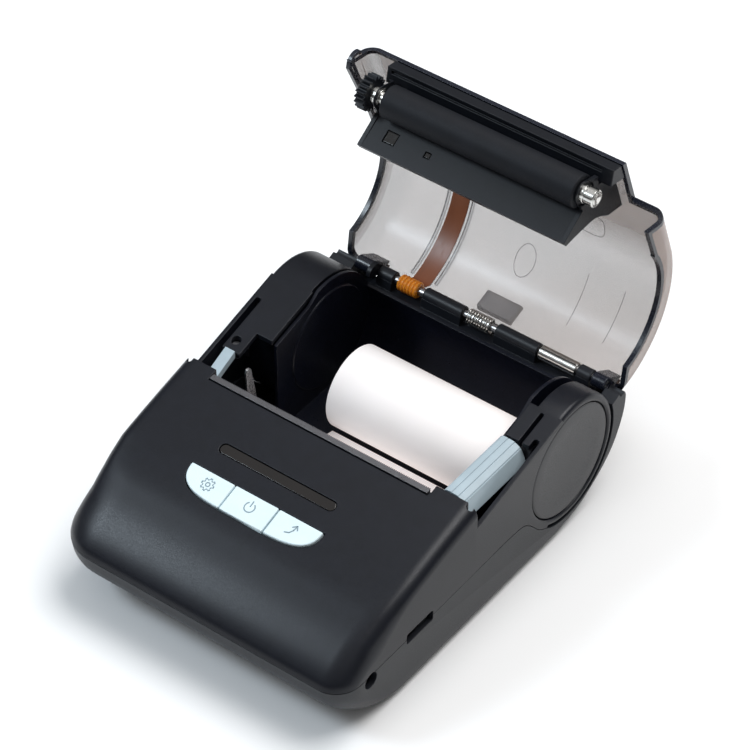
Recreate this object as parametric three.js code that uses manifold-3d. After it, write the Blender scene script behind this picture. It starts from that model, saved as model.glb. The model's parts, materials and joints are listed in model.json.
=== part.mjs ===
// Portable receipt printer with its translucent lid open, as separate named pieces.
// Millimetres. +X is the printer's right, +Y its rear, +Z up, and the feet stand on Z = 0.
// Every piece is drawn in one body frame: X = 0 is the middle, and Y = 30 is the centre of the round
// ears. The lid and all it carries are drawn closed, then swung open about the hinge.

import * as THREE from 'three';
import { mergeVertices } from 'three/addons/utils/BufferGeometryUtils.js';
import Module from 'manifold-3d';

const wasm = await Module();
wasm.setup();

// ---------------------------------------------------------------- driving dimensions

const HALF_WIDTH = 62.3;
const FRONT_Y = -99;
const SEAM_Z = 23.7;
const FLOOR_Z = 2.2; // underside of the base, above the feet
const WALL = 2.2;
const GAP = 0.3;
const CORNER_R = { left: 17, right: 10 }; // plan radii of the front corners
const TOP_EDGE_R = 5; // round edge along the cover's sides
const BOTTOM_EDGE_R = 4;

const EAR = { y: 30, z: 32.4, r: 25.4, disc: 22.2 };
const RIGHT_EAR_X = 52;
const LEFT_EAR_X = -45;
const BASE_SCOOP_R = EAR.r + 0.5;

const HINGE = { y: 60.6, z: 42 };
const LID_OPEN_DEG = 98;
const SHAFT_R = 1.5;
const RUNNING = 0.15; // radial clearance of a shaft in its hole

const LID = { half: 60.4, y: 30, z: 34.2, r: 37.8, wall: 1.8, edge: 4.8 };
const LIP = { y: -24.1, z: 48.6 };
const RIM = { y: 29.5, z: 35, r: 26.4 };
const SCOOP_X = 46.8; // the lid stops here on the right, beside the release lever

const PLATEN = { y: -16.9, z: 32.9, r: 6.2, shaft: 2.5, bush: 3.3, half: 40 };
const ROLL = { y: 22, z: 24.7, r: 16, core: 6, left: -25.5, right: 44.5 };
const BAY = { left: -42.8, right: 47.2, floor: 8.2, r: 24.2, skin: 1.2 };

const CHEEK_SLOPE = 0.262; // the side wall's top line rises rearwards, tangent to the ear
const CHEEK_Y = -27;
const CHEEK_Z = 43.7;
const COVER_BACK_Y = -25;
const LATCH_SHAFT = { y: -32, z: 44, r: 2 };
const HOOK_SHAFT = { y: -9, z: 20, r: 1.5 };
const MODULE = 0.65;

// side outlines as [y, z]; the curved stretches are splines through these points
const COVER_TOP = [[-99, 23.7], [-97.5, 26.6], [-93, 30.6], [-86, 35], [-78, 38.9], [-70, 42.2], [-57, 46.2],
  [-40, 50.6], [-25, 54.1]];
const BASE_NOSE = [[-99, SEAM_Z - GAP], [-97.9, 18], [-94.6, 12.6], [-86.2, 5.8], [-74, 2.5], [-66, FLOOR_Z]];
const BASE_TAIL = [[24, FLOOR_Z], [36, 4.6], [44, 8.4], [52.2, 14.6], [58, 22], [62, 31], [63.1, 38.4],
  [62, 41.4]];
const SEAM_DIP = [[-8, 24], [1.7, 23.3], [6.9, 19.7], [11.9, 13.9], [17, 10.6]]; // below the ear

// ---------------------------------------------------------------- materials

function material(color, roughness, metalness = 0) {
  return new THREE.MeshStandardMaterial({ color, roughness, metalness });
}

const CASE = material(0x2d2e32, 0.55);
const CASE_DARK = material(0x14151a, 0.5);
const SMOKE = material(0x8c8788, 0.25);
const KEY = material(0xdfeff2, 0.4);
const LEVER = material(0xbfd2d7, 0.45);
const STEEL = material(0xc9c9c6, 0.3, 1);
const DARK_STEEL = material(0x6e7074, 0.4, 1);
const ALLOY = material(0xa9adb2, 0.4, 1);
const RUBBER = material(0x26272b, 0.85);
const PAPER = material(0xf4f0ee, 0.9);
const CARD = material(0x9c7b57, 0.9);
const BOARD = material(0x1d5a3a, 0.6);
const CELL = material(0x2a4d86, 0.5);
const LENS = material(0x2a2422, 0.2);
const FLEX = material(0xb0662c, 0.45);
const GEAR = material(0x17181b, 0.5);

// ---------------------------------------------------------------- solids

function solidFrom(geometry) {
  const plain = geometry.index ? geometry.clone() : geometry;
  plain.deleteAttribute('normal');
  plain.deleteAttribute('uv');
  const merged = mergeVertices(plain, 1e-4);
  const mesh = new wasm.Mesh({
    numProp: 3,
    vertProperties: new Float32Array(merged.attributes.position.array),
    triVerts: new Uint32Array(merged.index.array),
  });
  return new wasm.Manifold(mesh);
}

function meshFrom(name, solid, look) {
  const data = solid.getMesh();
  const geometry = new THREE.BufferGeometry();
  geometry.setAttribute('position', new THREE.BufferAttribute(new Float32Array(data.vertProperties), 3));
  geometry.setIndex(new THREE.BufferAttribute(new Uint32Array(data.triVerts), 1));
  geometry.computeVertexNormals();
  const mesh = new THREE.Mesh(geometry, look);
  mesh.name = name;
  return mesh;
}

function join(...solids) {
  return solids.reduce((sum, next) => sum.add(next));
}

function block(x0, x1, y0, y1, z0, z1) {
  const geometry = new THREE.BoxGeometry(x1 - x0, y1 - y0, z1 - z0);
  geometry.translate((x0 + x1) / 2, (y0 + y1) / 2, (z0 + z1) / 2);
  return solidFrom(geometry);
}

// carries a shape drawn as (y, z) and extruded along its own z to the printer's Y-Z plane and X
function turnedToX(geometry, x0) {
  const axes = new THREE.Matrix4().makeBasis(
    new THREE.Vector3(0, 1, 0), new THREE.Vector3(0, 0, 1), new THREE.Vector3(1, 0, 0));
  geometry.applyMatrix4(axes);
  geometry.translate(x0, 0, 0);
  return geometry;
}

function prism(outline, x0, x1) {
  const shape = new THREE.Shape(outline.map(([y, z]) => new THREE.Vector2(y, z)));
  const geometry = new THREE.ExtrudeGeometry(shape, { depth: x1 - x0, bevelEnabled: false });
  return solidFrom(turnedToX(geometry, x0));
}

function rodX(centre, radius, x0, x1, segments = 24) {
  const geometry = new THREE.CylinderGeometry(radius, radius, x1 - x0, segments);
  geometry.rotateZ(-Math.PI / 2);
  geometry.translate((x0 + x1) / 2, centre.y, centre.z);
  return solidFrom(geometry);
}

function rodZ(x, y, radius, z0, z1, segments = 20) {
  const geometry = new THREE.CylinderGeometry(radius, radius, z1 - z0, segments);
  geometry.rotateX(Math.PI / 2);
  geometry.translate(x, y, (z0 + z1) / 2);
  return solidFrom(geometry);
}

function tubeX(centre, outer, inner, x0, x1, segments = 24) {
  return rodX(centre, outer, x0, x1, segments).subtract(rodX(centre, inner, x0 - 1, x1 + 1, segments));
}

// joins equal rings of points, each ring lying at its own x, and caps both ends
function loft(rings) {
  const contourOf = (ring) => ring.points.map(([y, z]) => new THREE.Vector2(y, z));
  if (THREE.ShapeUtils.area(contourOf(rings[0])) < 0) {
    rings.forEach((ring) => ring.points.reverse());
  }
  const count = rings[0].points.length;
  const positions = rings.flatMap((ring) => ring.points.flatMap(([y, z]) => [ring.x, y, z]));
  const index = [];
  for (let r = 0; r < rings.length - 1; r += 1) {
    for (let i = 0; i < count; i += 1) {
      const a = r * count + i;
      const b = r * count + ((i + 1) % count);
      index.push(a, b, b + count, a, b + count, a + count);
    }
  }
  const caps = [[0, true], [rings.length - 1, false]];
  for (const [r, flipped] of caps) {
    for (const [a, b, c] of THREE.ShapeUtils.triangulateShape(contourOf(rings[r]), [])) {
      const face = flipped ? [a, c, b] : [a, b, c];
      index.push(...face.map((i) => i + r * count));
    }
  }
  const geometry = new THREE.BufferGeometry();
  geometry.setAttribute('position', new THREE.Float32BufferAttribute(positions, 3));
  geometry.setIndex(index);
  return solidFrom(geometry);
}

function spline(points, steps) {
  const curve = new THREE.SplineCurve(points.map(([y, z]) => new THREE.Vector2(y, z)));
  return curve.getPoints(steps).map((p) => [p.x, p.y]);
}

function arc(centre, radius, fromDeg, toDeg, steps) {
  const points = [];
  for (let i = 0; i <= steps; i += 1) {
    const angle = THREE.MathUtils.degToRad(fromDeg + ((toDeg - fromDeg) * i) / steps);
    points.push([centre.y + radius * Math.cos(angle), centre.z + radius * Math.sin(angle)]);
  }
  return points;
}

// ring positions across the width: the middle is straight, and both ends follow a quarter round
function roundedStations(half, radius, steps) {
  const right = [];
  for (let i = 0; i <= steps; i += 1) {
    const angle = (Math.PI / 2) * (i / steps);
    right.push({ x: half - radius + radius * Math.sin(angle), inset: radius * (1 - Math.cos(angle)) });
  }
  const left = right.map(({ x, inset }) => ({ x: -x, inset })).reverse();
  return [...left, ...right];
}

// how far a face steps back at this x, for a round of this radius at the sides
function roundInset(x, half, radius) {
  const over = Math.abs(x) - (half - radius);
  return over <= 0 ? 0 : radius - Math.sqrt(Math.max(0, radius * radius - over * over));
}

function cornerRadius(x, shrink) {
  return (x < 0 ? CORNER_R.left : CORNER_R.right) - shrink;
}

// stations for the case: spaced for the plan corners, with the smaller edge round measured on them
function caseStations(shrink, edge, steps) {
  const half = HALF_WIDTH - shrink;
  const left = roundedStations(half, cornerRadius(-1, shrink), steps).filter(({ x }) => x < 0);
  const right = roundedStations(half, cornerRadius(1, shrink), steps).filter(({ x }) => x > 0);
  return [...left, ...right].map(({ x }) => ({ x, inset: roundInset(x, half, edge) }));
}

function cheekZ(y) {
  return CHEEK_Z + CHEEK_SLOPE * (y - CHEEK_Y);
}

function coverZ(y) {
  const curve = spline(COVER_TOP, 120);
  const after = curve.findIndex((p) => p[0] >= y);
  const [y0, z0] = curve[after - 1];
  const [y1, z1] = curve[after];
  return z0 + ((z1 - z0) * (y - y0)) / (y1 - y0);
}

// ---------------------------------------------------------------- case

const SIDE_TRANSITION_Y = -60; // the round plan corner fades out behind this
const CORNER_FULL_Y = -87; // and is full in front of this

function frontShift(y, x, shrink) {
  const weight = THREE.MathUtils.clamp((SIDE_TRANSITION_Y - y) / (SIDE_TRANSITION_Y - CORNER_FULL_Y), 0, 1);
  return y + roundInset(x, HALF_WIDTH - shrink, cornerRadius(x, shrink)) * weight;
}

function coverBlock(shrink, bottomZ, backY) {
  const top = spline(COVER_TOP, 22);
  const rings = caseStations(shrink, TOP_EDGE_R - shrink * 0.5, 6).map(({ x, inset }) => {
    const points = top.map(([y, z]) => {
      const lowered = z - shrink - inset * THREE.MathUtils.clamp((z - SEAM_Z) / 10, 0, 1);
      return [frontShift(Math.min(y + shrink, backY), x, shrink), Math.max(lowered, bottomZ + 0.05)];
    });
    const nose = [frontShift(FRONT_Y + shrink, x, shrink), bottomZ];
    const back = [[backY, bottomZ], [backY, points.at(-1)[1]]];
    return { x, points: [nose, ...points.slice(0, -1), ...back.reverse()] };
  });
  return loft(rings);
}

function sideProfile(bottomShift) {
  const dip = spline(SEAM_DIP, 8);
  return [[CHEEK_Y - 4, SEAM_Z + bottomShift], ...dip.map(([y, z]) => [y, z + bottomShift]), [EAR.y, EAR.z],
    [23.4, cheekZ(23.4)], [CHEEK_Y, CHEEK_Z], [CHEEK_Y - 4, CHEEK_Z - 1]];
}

function sideWalls() {
  const outer = HALF_WIDTH;
  const inner = HALF_WIDTH - 1.5;
  return [prism(sideProfile(0), inner, outer), prism(sideProfile(0), -outer, -inner)];
}

const PLATE = 2; // thickness of the plates along the cheeks' tops and of the ears' inner walls

function cheekPlate(x0, x1, y0, y1) {
  const top = [[y1, cheekZ(y1)], [y0, cheekZ(y0)]];
  const under = [[y0, cheekZ(y0) - PLATE], [y1, cheekZ(y1) - PLATE]];
  return prism([...under, ...top], x0, x1);
}

function rodBetween(radius, xa, xb, segments) {
  return rodX(EAR, radius, Math.min(xa, xb), Math.max(xa, xb), segments);
}

// round recess for a side cap, open to the outside
function earPocket(innerX, outerX) {
  const sign = Math.sign(outerX);
  return rodBetween(EAR.disc + GAP, innerX + sign * PLATE, outerX + sign, 48);
}

const LID_SLOT = { near: 58.4, far: 60.8, front: CHEEK_Y, back: 13, deep: 33, over: 60 };
const GUIDE_SLOT = { near: 54.2, far: 55.8, front: 9, back: 22.5, deep: 49, over: 62 };

function slotBlock(x0, x1, slot) {
  return block(x0, x1, slot.front, slot.back, slot.deep, slot.over);
}

// the lid's side walls drop into one long slot in each cheek, and its guide into a third
function lidSlots() {
  const left = slotBlock(-LID_SLOT.far, -LID_SLOT.near, LID_SLOT);
  const right = slotBlock(LID_SLOT.near, LID_SLOT.far, LID_SLOT);
  return join(left, right, slotBlock(GUIDE_SLOT.near, GUIDE_SLOT.far, GUIDE_SLOT));
}

// room for the release lever beside the right cheek
function leverWell() {
  return block(46.9, 58.4, -25, 9.4, 41, 60);
}

const TEAR = { left: -48, right: 45, front: -29.2, back: -26.6, top: 53.6 };
const USB = { y: -56.7, z: 23.5, width: 14.6, height: 4.8 };
const JACK = { y: -83.5, z: 21, r: 3.2 };

function portCut() {
  const [x0, x1] = [56, 64];
  const [halfWidth, halfHeight] = [USB.width / 2, USB.height / 2];
  const slot = block(x0, x1, USB.y - halfWidth, USB.y + halfWidth, USB.z - halfHeight, USB.z + halfHeight);
  return slot.add(rodX(JACK, JACK.r, x0, x1));
}

// keys and window lie in the sloping cover; each is drawn flat, then tilted about its own point
const KEYS = { y: -63.4, back: 4.8, front: -5.4, left: -31.6, right: 24.1, cuts: [-12.8, 5.7], split: 0.5 };
const WINDOW = { y: -49, left: -27.3, right: 21.3, half: 1.9 };

function coverTilt(y) {
  return THREE.MathUtils.radToDeg(Math.atan2(coverZ(y + 3) - coverZ(y - 3), 6));
}

// plan outline of the key group as [x, y]: straight at the back, rounded towards the front
function keyOutline(grow) {
  const steps = 10;
  const mid = (KEYS.left + KEYS.right) / 2;
  const half = (KEYS.right - KEYS.left) / 2 + grow;
  const points = [];
  for (let i = 0; i <= steps * 2; i += 1) {
    const angle = Math.PI * (i / (steps * 2));
    const x = half * Math.sign(Math.cos(angle)) * Math.abs(Math.cos(angle)) ** 0.45;
    points.push([mid + x, KEYS.back - (KEYS.back - KEYS.front + grow) * Math.sin(angle) ** 0.75]);
  }
  points[0][1] = KEYS.back + grow;
  points[steps * 2][1] = KEYS.back + grow;
  return points;
}

function planPrism(outline, z0, z1) {
  const shape = new THREE.Shape(outline.map(([x, y]) => new THREE.Vector2(x, y)));
  const geometry = new THREE.ExtrudeGeometry(shape, { depth: z1 - z0, bevelEnabled: false });
  geometry.translate(0, 0, z0);
  return solidFrom(geometry);
}

function onCover(solid, y) {
  return solid.rotate([coverTilt(y), 0, 0]).translate([0, y, coverZ(y)]);
}

function pillOutline(left, right, half) {
  const ends = [];
  for (let i = 0; i <= 8; i += 1) {
    const angle = -Math.PI / 2 + (Math.PI * i) / 8;
    ends.push([right - half + half * Math.cos(angle), half * Math.sin(angle)]);
  }
  for (let i = 0; i <= 8; i += 1) {
    const angle = Math.PI / 2 + (Math.PI * i) / 8;
    ends.push([left + half + half * Math.cos(angle), half * Math.sin(angle)]);
  }
  return ends;
}

const CHEEK_SCREW = { x: -55.6, y: -5.2, r: 1.5, z0: 42, z1: 47.6 };

function upperShell() {
  let shell = coverBlock(0, SEAM_Z, COVER_BACK_Y);
  shell = shell.subtract(coverBlock(WALL, SEAM_Z - 1, COVER_BACK_Y + 5));
  shell = shell.subtract(block(TEAR.left - 0.4, TEAR.right + 0.4, TEAR.front - 0.4, 0, 40, 60));
  shell = shell.subtract(onCover(planPrism(keyOutline(0.4), -12, 12), KEYS.y));
  const slot = planPrism(pillOutline(WINDOW.left - 0.3, WINDOW.right + 0.3, WINDOW.half + 0.3), -12, 12);
  shell = shell.subtract(onCover(slot, WINDOW.y));
  const cheeks = [
    cheekPlate(-61, LEFT_EAR_X + 0.6, 0.6, 24),
    cheekPlate(-61, -51, -9.5, 2),
    cheekPlate(BAY.right + 1.6, 61, 9.6, 24),
  ];
  const earSpans = [[RIGHT_EAR_X, HALF_WIDTH], [LEFT_EAR_X, -HALF_WIDTH]];
  const ears = earSpans.map(([inner, outer]) => rodBetween(EAR.r, inner, outer, 56));
  shell = join(shell, ...sideWalls(), ...cheeks, ...ears);
  const screwHole = rodZ(CHEEK_SCREW.x, CHEEK_SCREW.y, CHEEK_SCREW.r + GAP, 40, 60);
  const pockets = earSpans.map(([inner, outer]) => earPocket(inner, outer));
  return shell.subtract(join(lidSlots(), leverWell(), screwHole, portCut(), ...pockets));
}

function baseBlock() {
  const nose = spline(BASE_NOSE, 12);
  const tail = spline(BASE_TAIL, 14);
  const dip = spline(SEAM_DIP, 8);
  const scoop = arc(EAR, BASE_SCOOP_R, -115, 18, 16);
  const upper = [[59.8, 42.4], ...scoop.reverse(), ...dip.reverse().map(([y, z]) => [y, z - GAP]),
    [-60, SEAM_Z - GAP]];
  const rings = caseStations(0, BOTTOM_EDGE_R, 6).map(({ x, inset }) => {
    const bottom = [...nose, ...tail].map(([y, z]) => {
      const lift = inset * THREE.MathUtils.clamp((20 - z) / 12, 0, 1) * 0.3;
      return [frontShift(y, x, 0), z + lift];
    });
    return { x, points: [...bottom, ...upper] };
  });
  return loft(rings);
}

function baseHollow() {
  const inner = [[-96, 30], [-94.6, 19.5], [-91, 15], [-83.5, 9], [-73, FLOOR_Z + WALL], [20, FLOOR_Z + WALL],
    [26, 6.2], [26, 30]];
  const rings = caseStations(WALL, BOTTOM_EDGE_R, 4).map(({ x }) => ({
    x,
    points: inner.map(([y, z]) => [frontShift(y, x, WALL), z]),
  }));
  return loft(rings);
}

const ARMS = [[-52, -44.6], [50.6, 56]];
const BASE_KNUCKLES = [[-42, -35.4], [-22, -5], [9.6, 27.4], [44.4, 50]];
const FEET = [[-50, -60], [50, -60], [-50, 16], [50, 16]];
const SCREWS = [[-54, -48], [54, -48], [-54, 4], [54, 4]];
const DOOR = { x0: -44, x1: 24, y0: -65, y1: -30 };

function baseKnuckle([x0, x1]) {
  const foot = prism([[56.9, 37], [61.8, 37], [63.2, 42], [57.8, 42]], x0, x1);
  return rodX(HINGE, 2.7, x0, x1, 20).add(foot);
}

function baseShell() {
  let shell = baseBlock().subtract(baseHollow());
  for (const [x0, x1] of ARMS) {
    shell = shell.subtract(rodX(HINGE, 6.4, x0 - 0.4, x1 + 0.4));
  }
  shell = shell.subtract(block(-44.6, 51, 50, 70, 38.4, 50));
  shell = join(shell, ...BASE_KNUCKLES.map(baseKnuckle));
  shell = shell.subtract(rodX(HINGE, SHAFT_R + RUNNING, -80, 80, 20));
  shell = shell.subtract(portCut());
  shell = shell.subtract(block(DOOR.x0 - GAP, DOOR.x1 + GAP, DOOR.y0 - GAP, DOOR.y1 + GAP, 0, 6));
  for (const [x, y] of SCREWS) {
    shell = shell.subtract(rodZ(x, y, 2.5, 0, 12, 16));
  }
  return shell;
}

function cheekScrew() {
  return rodZ(CHEEK_SCREW.x, CHEEK_SCREW.y, CHEEK_SCREW.r, CHEEK_SCREW.z0, CHEEK_SCREW.z1, 16);
}

function sideCap(innerX, outerX) {
  return rodBetween(EAR.disc, innerX, outerX, 48);
}

// open trough for the paper, with a wall at each end
function bayTub() {
  const outer = BAY.r + BAY.skin;
  const path = (r, z) => [[-7, z], [EAR.y - 3, z], ...arc(EAR, r, -82, 20, 14)];
  const skinOut = path(outer, BAY.floor - BAY.skin);
  const skinIn = path(BAY.r, BAY.floor).reverse();
  const trough = prism([...skinOut, ...skinIn], BAY.left - BAY.skin, BAY.right + BAY.skin);
  const end = (x0, x1, frontY) => {
    const top = cheekZ(frontY) - 2.4;
    const wall = [[frontY, BAY.floor - 0.7], [EAR.y, BAY.floor - 0.9], ...arc(EAR, outer - 0.2, -84, 100, 16),
      [20, cheekZ(20) - 2.5], [frontY, top]];
    return prism(wall, x0, x1);
  };
  const left = end(BAY.left - BAY.skin, BAY.left, 1.2);
  const right = end(BAY.right, BAY.right + BAY.skin, -6.5);
  return join(trough, left, right).subtract(leverWell());
}

function battery() {
  return block(-42, 22, -74, -37.5, 5.2, 17.8);
}

function mainBoard() {
  return block(-56, 56, -78, -37, 18.6, 20.2);
}

function usbConnector() {
  const shell = block(49, 57.6, USB.y - 4, USB.y + 4, USB.z - 1.95, USB.z + 1.95);
  const mouth = block(51, 58, USB.y - 3.5, USB.y + 3.5, USB.z - 1.5, USB.z + 1.5);
  const tongue = block(50.5, 57, USB.y - 2.6, USB.y + 2.6, USB.z - 0.3, USB.z + 0.5);
  return shell.subtract(mouth).add(tongue);
}

function dcJack() {
  const body = rodX(JACK, 4.4, 47, 59.6);
  const mouth = rodX(JACK, 3.1, 49, 60);
  const pin = rodX(JACK, 0.9, 48, 55);
  return body.subtract(mouth).add(pin);
}

// ---------------------------------------------------------------- keys and window

function keySolid(x0, x1) {
  const band = block(x0, x1, -20, 20, -3, 0.9);
  return onCover(planPrism(keyOutline(0), -3, 0.9).intersect(band), KEYS.y);
}

function keyBoard() {
  let board = block(-33, 26, -6, 6, -6.6, -5.2);
  for (const x of [-22, -3.5, 15]) {
    board = board.add(rodZ(x, 0, 2.2, -5.4, -4.3, 16));
  }
  return onCover(board, KEYS.y);
}

function indicatorWindow() {
  return onCover(planPrism(pillOutline(WINDOW.left, WINDOW.right, WINDOW.half), -2.4, -0.15), WINDOW.y);
}

// ---------------------------------------------------------------- print mechanism

function gear(centre, teeth, x0, x1, bore, phase) {
  const pitch = (MODULE * teeth) / 2;
  const tip = pitch + 0.55;
  const root = pitch - 0.75;
  const shape = [];
  for (let i = 0; i < teeth; i += 1) {
    const middle = phase + (2 * Math.PI * i) / teeth;
    const flanks = [[-0.62, root], [-0.2, tip], [0.2, tip], [0.62, root]];
    for (const [offset, radius] of flanks) {
      const angle = middle + offset / radius;
      shape.push([centre.y + radius * Math.cos(angle), centre.z + radius * Math.sin(angle)]);
    }
  }
  return prism(shape, x0, x1).subtract(rodX(centre, bore, x0 - 1, x1 + 1, 16));
}

const PINION = { y: -47.6, z: 30.5, teeth: 10 };
const IDLER = { y: -34.6, z: 30.5, teeth: 30 };
const PLATEN_TEETH = 19;
const GEAR_X = [-50.4, -46.5];
const MOTOR_SHAFT_R = 1;
const IDLER_POST_R = 1.5;

function stepMotor() {
  const can = rodX(PINION, 8.5, -43.4, -28, 28);
  const flange = prism([[-58.4, 28.5], [-36.8, 28.5], [-36.8, 32.5], [-58.4, 32.5]], -44.4, -43.4);
  return join(can, flange, rodX(PINION, MOTOR_SHAFT_R, GEAR_X[0], -43, 16));
}

function gearboxPlate() {
  const plate = prism([[-57, 21], [-26, 21], [-26, 40.5], [-40, 41], [-57, 38]], -46.2, -45);
  const post = rodX(IDLER, IDLER_POST_R, GEAR_X[0], -45, 16);
  return plate.subtract(rodX(PINION, 2.2, -47, -44, 20)).add(post);
}

function headFaceY(z) {
  return -23.4 - 0.06 * (z - PLATEN.z);
}

function printHead() {
  const thick = 1.4;
  return prism([[headFaceY(24), 24], [headFaceY(40.5), 40.5], [headFaceY(40.5) - thick, 40.5],
    [headFaceY(24) - thick, 24]], -41, 41);
}

function heatSink() {
  const front = 1.7;
  const back = 5;
  return prism([[headFaceY(22) - front, 22], [headFaceY(41.5) - front, 41.5], [headFaceY(41.5) - back, 41.5],
    [headFaceY(22) - back, 22]], -42, 42);
}

function headFrame() {
  const back = block(-43.6, 44.6, -36.2, -35.2, 12.4, 39);
  const floor = block(-43.6, 44.6, -36.2, -7.6, 12.4, 13.4);
  const cheek = [[-36.2, 12.4], [-7.6, 12.4], [-7.6, 17.4], [-13, 22.5], [-24, 24], [-24.6, 20.5],
    [-30.6, 20.5], [-30.6, 39], [-36.2, 39]];
  const frame = join(back, floor, prism(cheek, -44.6, -43.6), prism(cheek, 44.6, 45.6));
  return frame.subtract(rodX(HOOK_SHAFT, HOOK_SHAFT.r + RUNNING, -60, 60, 20));
}

function helix(radius, wire, turns, length, stepsPerTurn) {
  const points = [];
  const total = turns * stepsPerTurn;
  for (let i = 0; i <= total; i += 1) {
    const angle = (2 * Math.PI * i) / stepsPerTurn;
    points.push(new THREE.Vector3(radius * Math.cos(angle), radius * Math.sin(angle), (length * i) / total));
  }
  const path = new THREE.CatmullRomCurve3(points);
  const section = new THREE.Shape();
  section.absarc(0, 0, wire, 0, 2 * Math.PI);
  return new THREE.ExtrudeGeometry(section, { steps: total, extrudePath: path, curveSegments: 3 });
}

function headSpring(x) {
  const geometry = helix(2.2, 0.4, 4, 4.6, 9);
  geometry.rotateX(Math.PI / 2);
  geometry.translate(x, -29.8, 32);
  return solidFrom(geometry);
}

// strip with a saw edge along its back
function tearBar() {
  const pitch = 1.5;
  const count = Math.floor((TEAR.right - TEAR.left) / pitch);
  const outline = [[TEAR.left, TEAR.front], [TEAR.left + count * pitch, TEAR.front]];
  for (let i = count; i > 0; i -= 1) {
    outline.push([TEAR.left + i * pitch, TEAR.back - 0.7]);
    outline.push([TEAR.left + (i - 0.5) * pitch, TEAR.back]);
  }
  outline.push([TEAR.left, TEAR.back - 0.7]);
  return planPrism(outline, TEAR.top - 1, TEAR.top);
}

function tearBarHolder() {
  return prism([[TEAR.front - 0.1, 47.2], [TEAR.back - 0.2, 47.2], [TEAR.back - 0.6, TEAR.top - 1.3],
    [TEAR.front - 0.1, TEAR.top - 1.3]], TEAR.left, TEAR.right);
}

// ---------------------------------------------------------------- release latch and hooks

const LEVER_PAD = { left: 47.3, right: 58, front: -23.4, back: 9, top: 52.8 };

function latchArm(x0, x1, endY, endZ) {
  const side = [[-34.2, 42.6], [-30, 41.8], [endY, endZ - 2], [endY, endZ + 2], [-30, 46.2], [-34, 45.8]];
  const boss = rodX(LATCH_SHAFT, 3.4, x0, x1, 20);
  return prism(side, x0, x1).add(boss).subtract(rodX(LATCH_SHAFT, LATCH_SHAFT.r + 0.05, x0 - 1, x1 + 1));
}

function releaseLever() {
  const { left, right, front, back, top } = LEVER_PAD;
  const outer = [[left, top - 0.8], [left + 1.2, top], [left + 6.6, top - 0.3], [left + 9.4, top - 2.4],
    [right, top - 7.4]];
  const inner = [[right - 2, top - 7.4], [left + 8.2, top - 4], [left + 5.6, top - 2.7], [left, top - 2.7]];
  const shape = new THREE.Shape([...inner, ...outer].map(([x, z]) => new THREE.Vector2(x, z)));
  const geometry = new THREE.ExtrudeGeometry(shape, { depth: back - front, bevelEnabled: false });
  geometry.rotateX(Math.PI / 2);
  geometry.translate(0, back, 0);
  return solidFrom(geometry).add(latchArm(50, 53.5, -18, 49.2));
}

function leftLatch() {
  const pad = prism([[-22, 41.4], [-10, 46.4], [-10, 49.4], [-20.6, 44.8], [-22, 43.9]], -56.6, -50.8);
  return pad.add(latchArm(-55.9, -52.6, -19, 41.8));
}

function hook(x0, x1) {
  const { y, z } = HOOK_SHAFT;
  const plate = prism([[y - 2.6, z - 2.4], [y + 2.6, z - 2.4], [y + 3, z + 2], [y - 1, 45], [y - 2, 46],
    [y - 3.4, 46], [y - 3.7, 44.6], [y - 3.4, 34], [y - 3.2, z + 4]], x0, x1);
  return plate.subtract(rodX(HOOK_SHAFT, HOOK_SHAFT.r + 0.05, x0 - 1, x1 + 1, 20));
}

// ---------------------------------------------------------------- hinge line

const SLEEVE_X = [28, 43.8];
const FLEX_X = [-33.2, -24.8];
const SPRING_X = [-3.6, 7.6];

function torsionSpring() {
  const coil = helix(2.6, 0.42, 7, SPRING_X[1] - SPRING_X[0] - 1, 10);
  coil.rotateY(Math.PI / 2);
  coil.translate(SPRING_X[0] + 0.5, HINGE.y, HINGE.z);
  return solidFrom(coil);
}

function hingeBracket() {
  const side = [[54, 43.8], [55, 45.8], [57.4, 47], [59.8, 46.8], [62.6, 44.6], [62.4, 41.6], [56.4, 41.6]];
  return prism(side, -44.2, -42.4).subtract(rodX(HINGE, SHAFT_R + RUNNING, -50, -40, 20));
}

// ---------------------------------------------------------------- lid, drawn closed

const LINE_ANGLE = (() => {
  const dy = LID.y - LIP.y;
  const dz = LID.z - LIP.z;
  return Math.atan2(dz, dy) + Math.asin(LID.r / Math.hypot(dy, dz));
})();

function lidTopLine(y, drop) {
  return LIP.z + Math.tan(LINE_ANGLE) * (y - LIP.y) - drop / Math.cos(LINE_ANGLE);
}

// outer skin seen from the side: a straight run from the lip, then a round back down to the hinge
function lidProfile(inset, frontY) {
  const start = 90 + THREE.MathUtils.radToDeg(LINE_ANGLE);
  const round = arc(LID, LID.r - inset, start, 18, 18);
  const foot = [[frontY, 30], [LID.y + LID.r - inset - 1.9, 30]];
  return [...foot, ...round.reverse(), [frontY, lidTopLine(frontY, inset)]];
}

function lidBlock(half, edge, inset, frontY) {
  const rings = roundedStations(half, edge, 5).map((station) => ({
    x: station.x,
    points: lidProfile(inset + station.inset, frontY),
  }));
  return loft(rings);
}

function lidRimCut(x0, x1) {
  const under = prism([[-60, -5], [40, -5], [40, 35], [10, 53.6], [-0.7, 47.7], [-60, 14]], x0, x1);
  const rear = prism([[29, -5], [90, -5], [90, 46.2], [45, 46.2], [29, 58]], x0, x1);
  return join(under, rodX(RIM, RIM.r, x0, x1, 56), rear);
}

// the right front corner is cut away in a round scoop beside the release lever
function scoopCut() {
  const corner = arc({ y: -10, z: 53 }, 7, 0, 90, 5);
  return prism([[-60, -5], [-3, -5], [-3, 46], ...corner, [-60, 80]], SCOOP_X, 70);
}

const LOBE_WALL = 1.6;

function lidLobe() {
  const tip = arc({ y: -21.6, z: 38.9 }, 4.5, -110, -200, 5);
  const side = [[12, 55.4], [-20.6, 34.5], ...tip, [LIP.y, 41.2], [20, 63.5]];
  return prism(side, -LID.half, -LID.half + LOBE_WALL);
}

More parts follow.
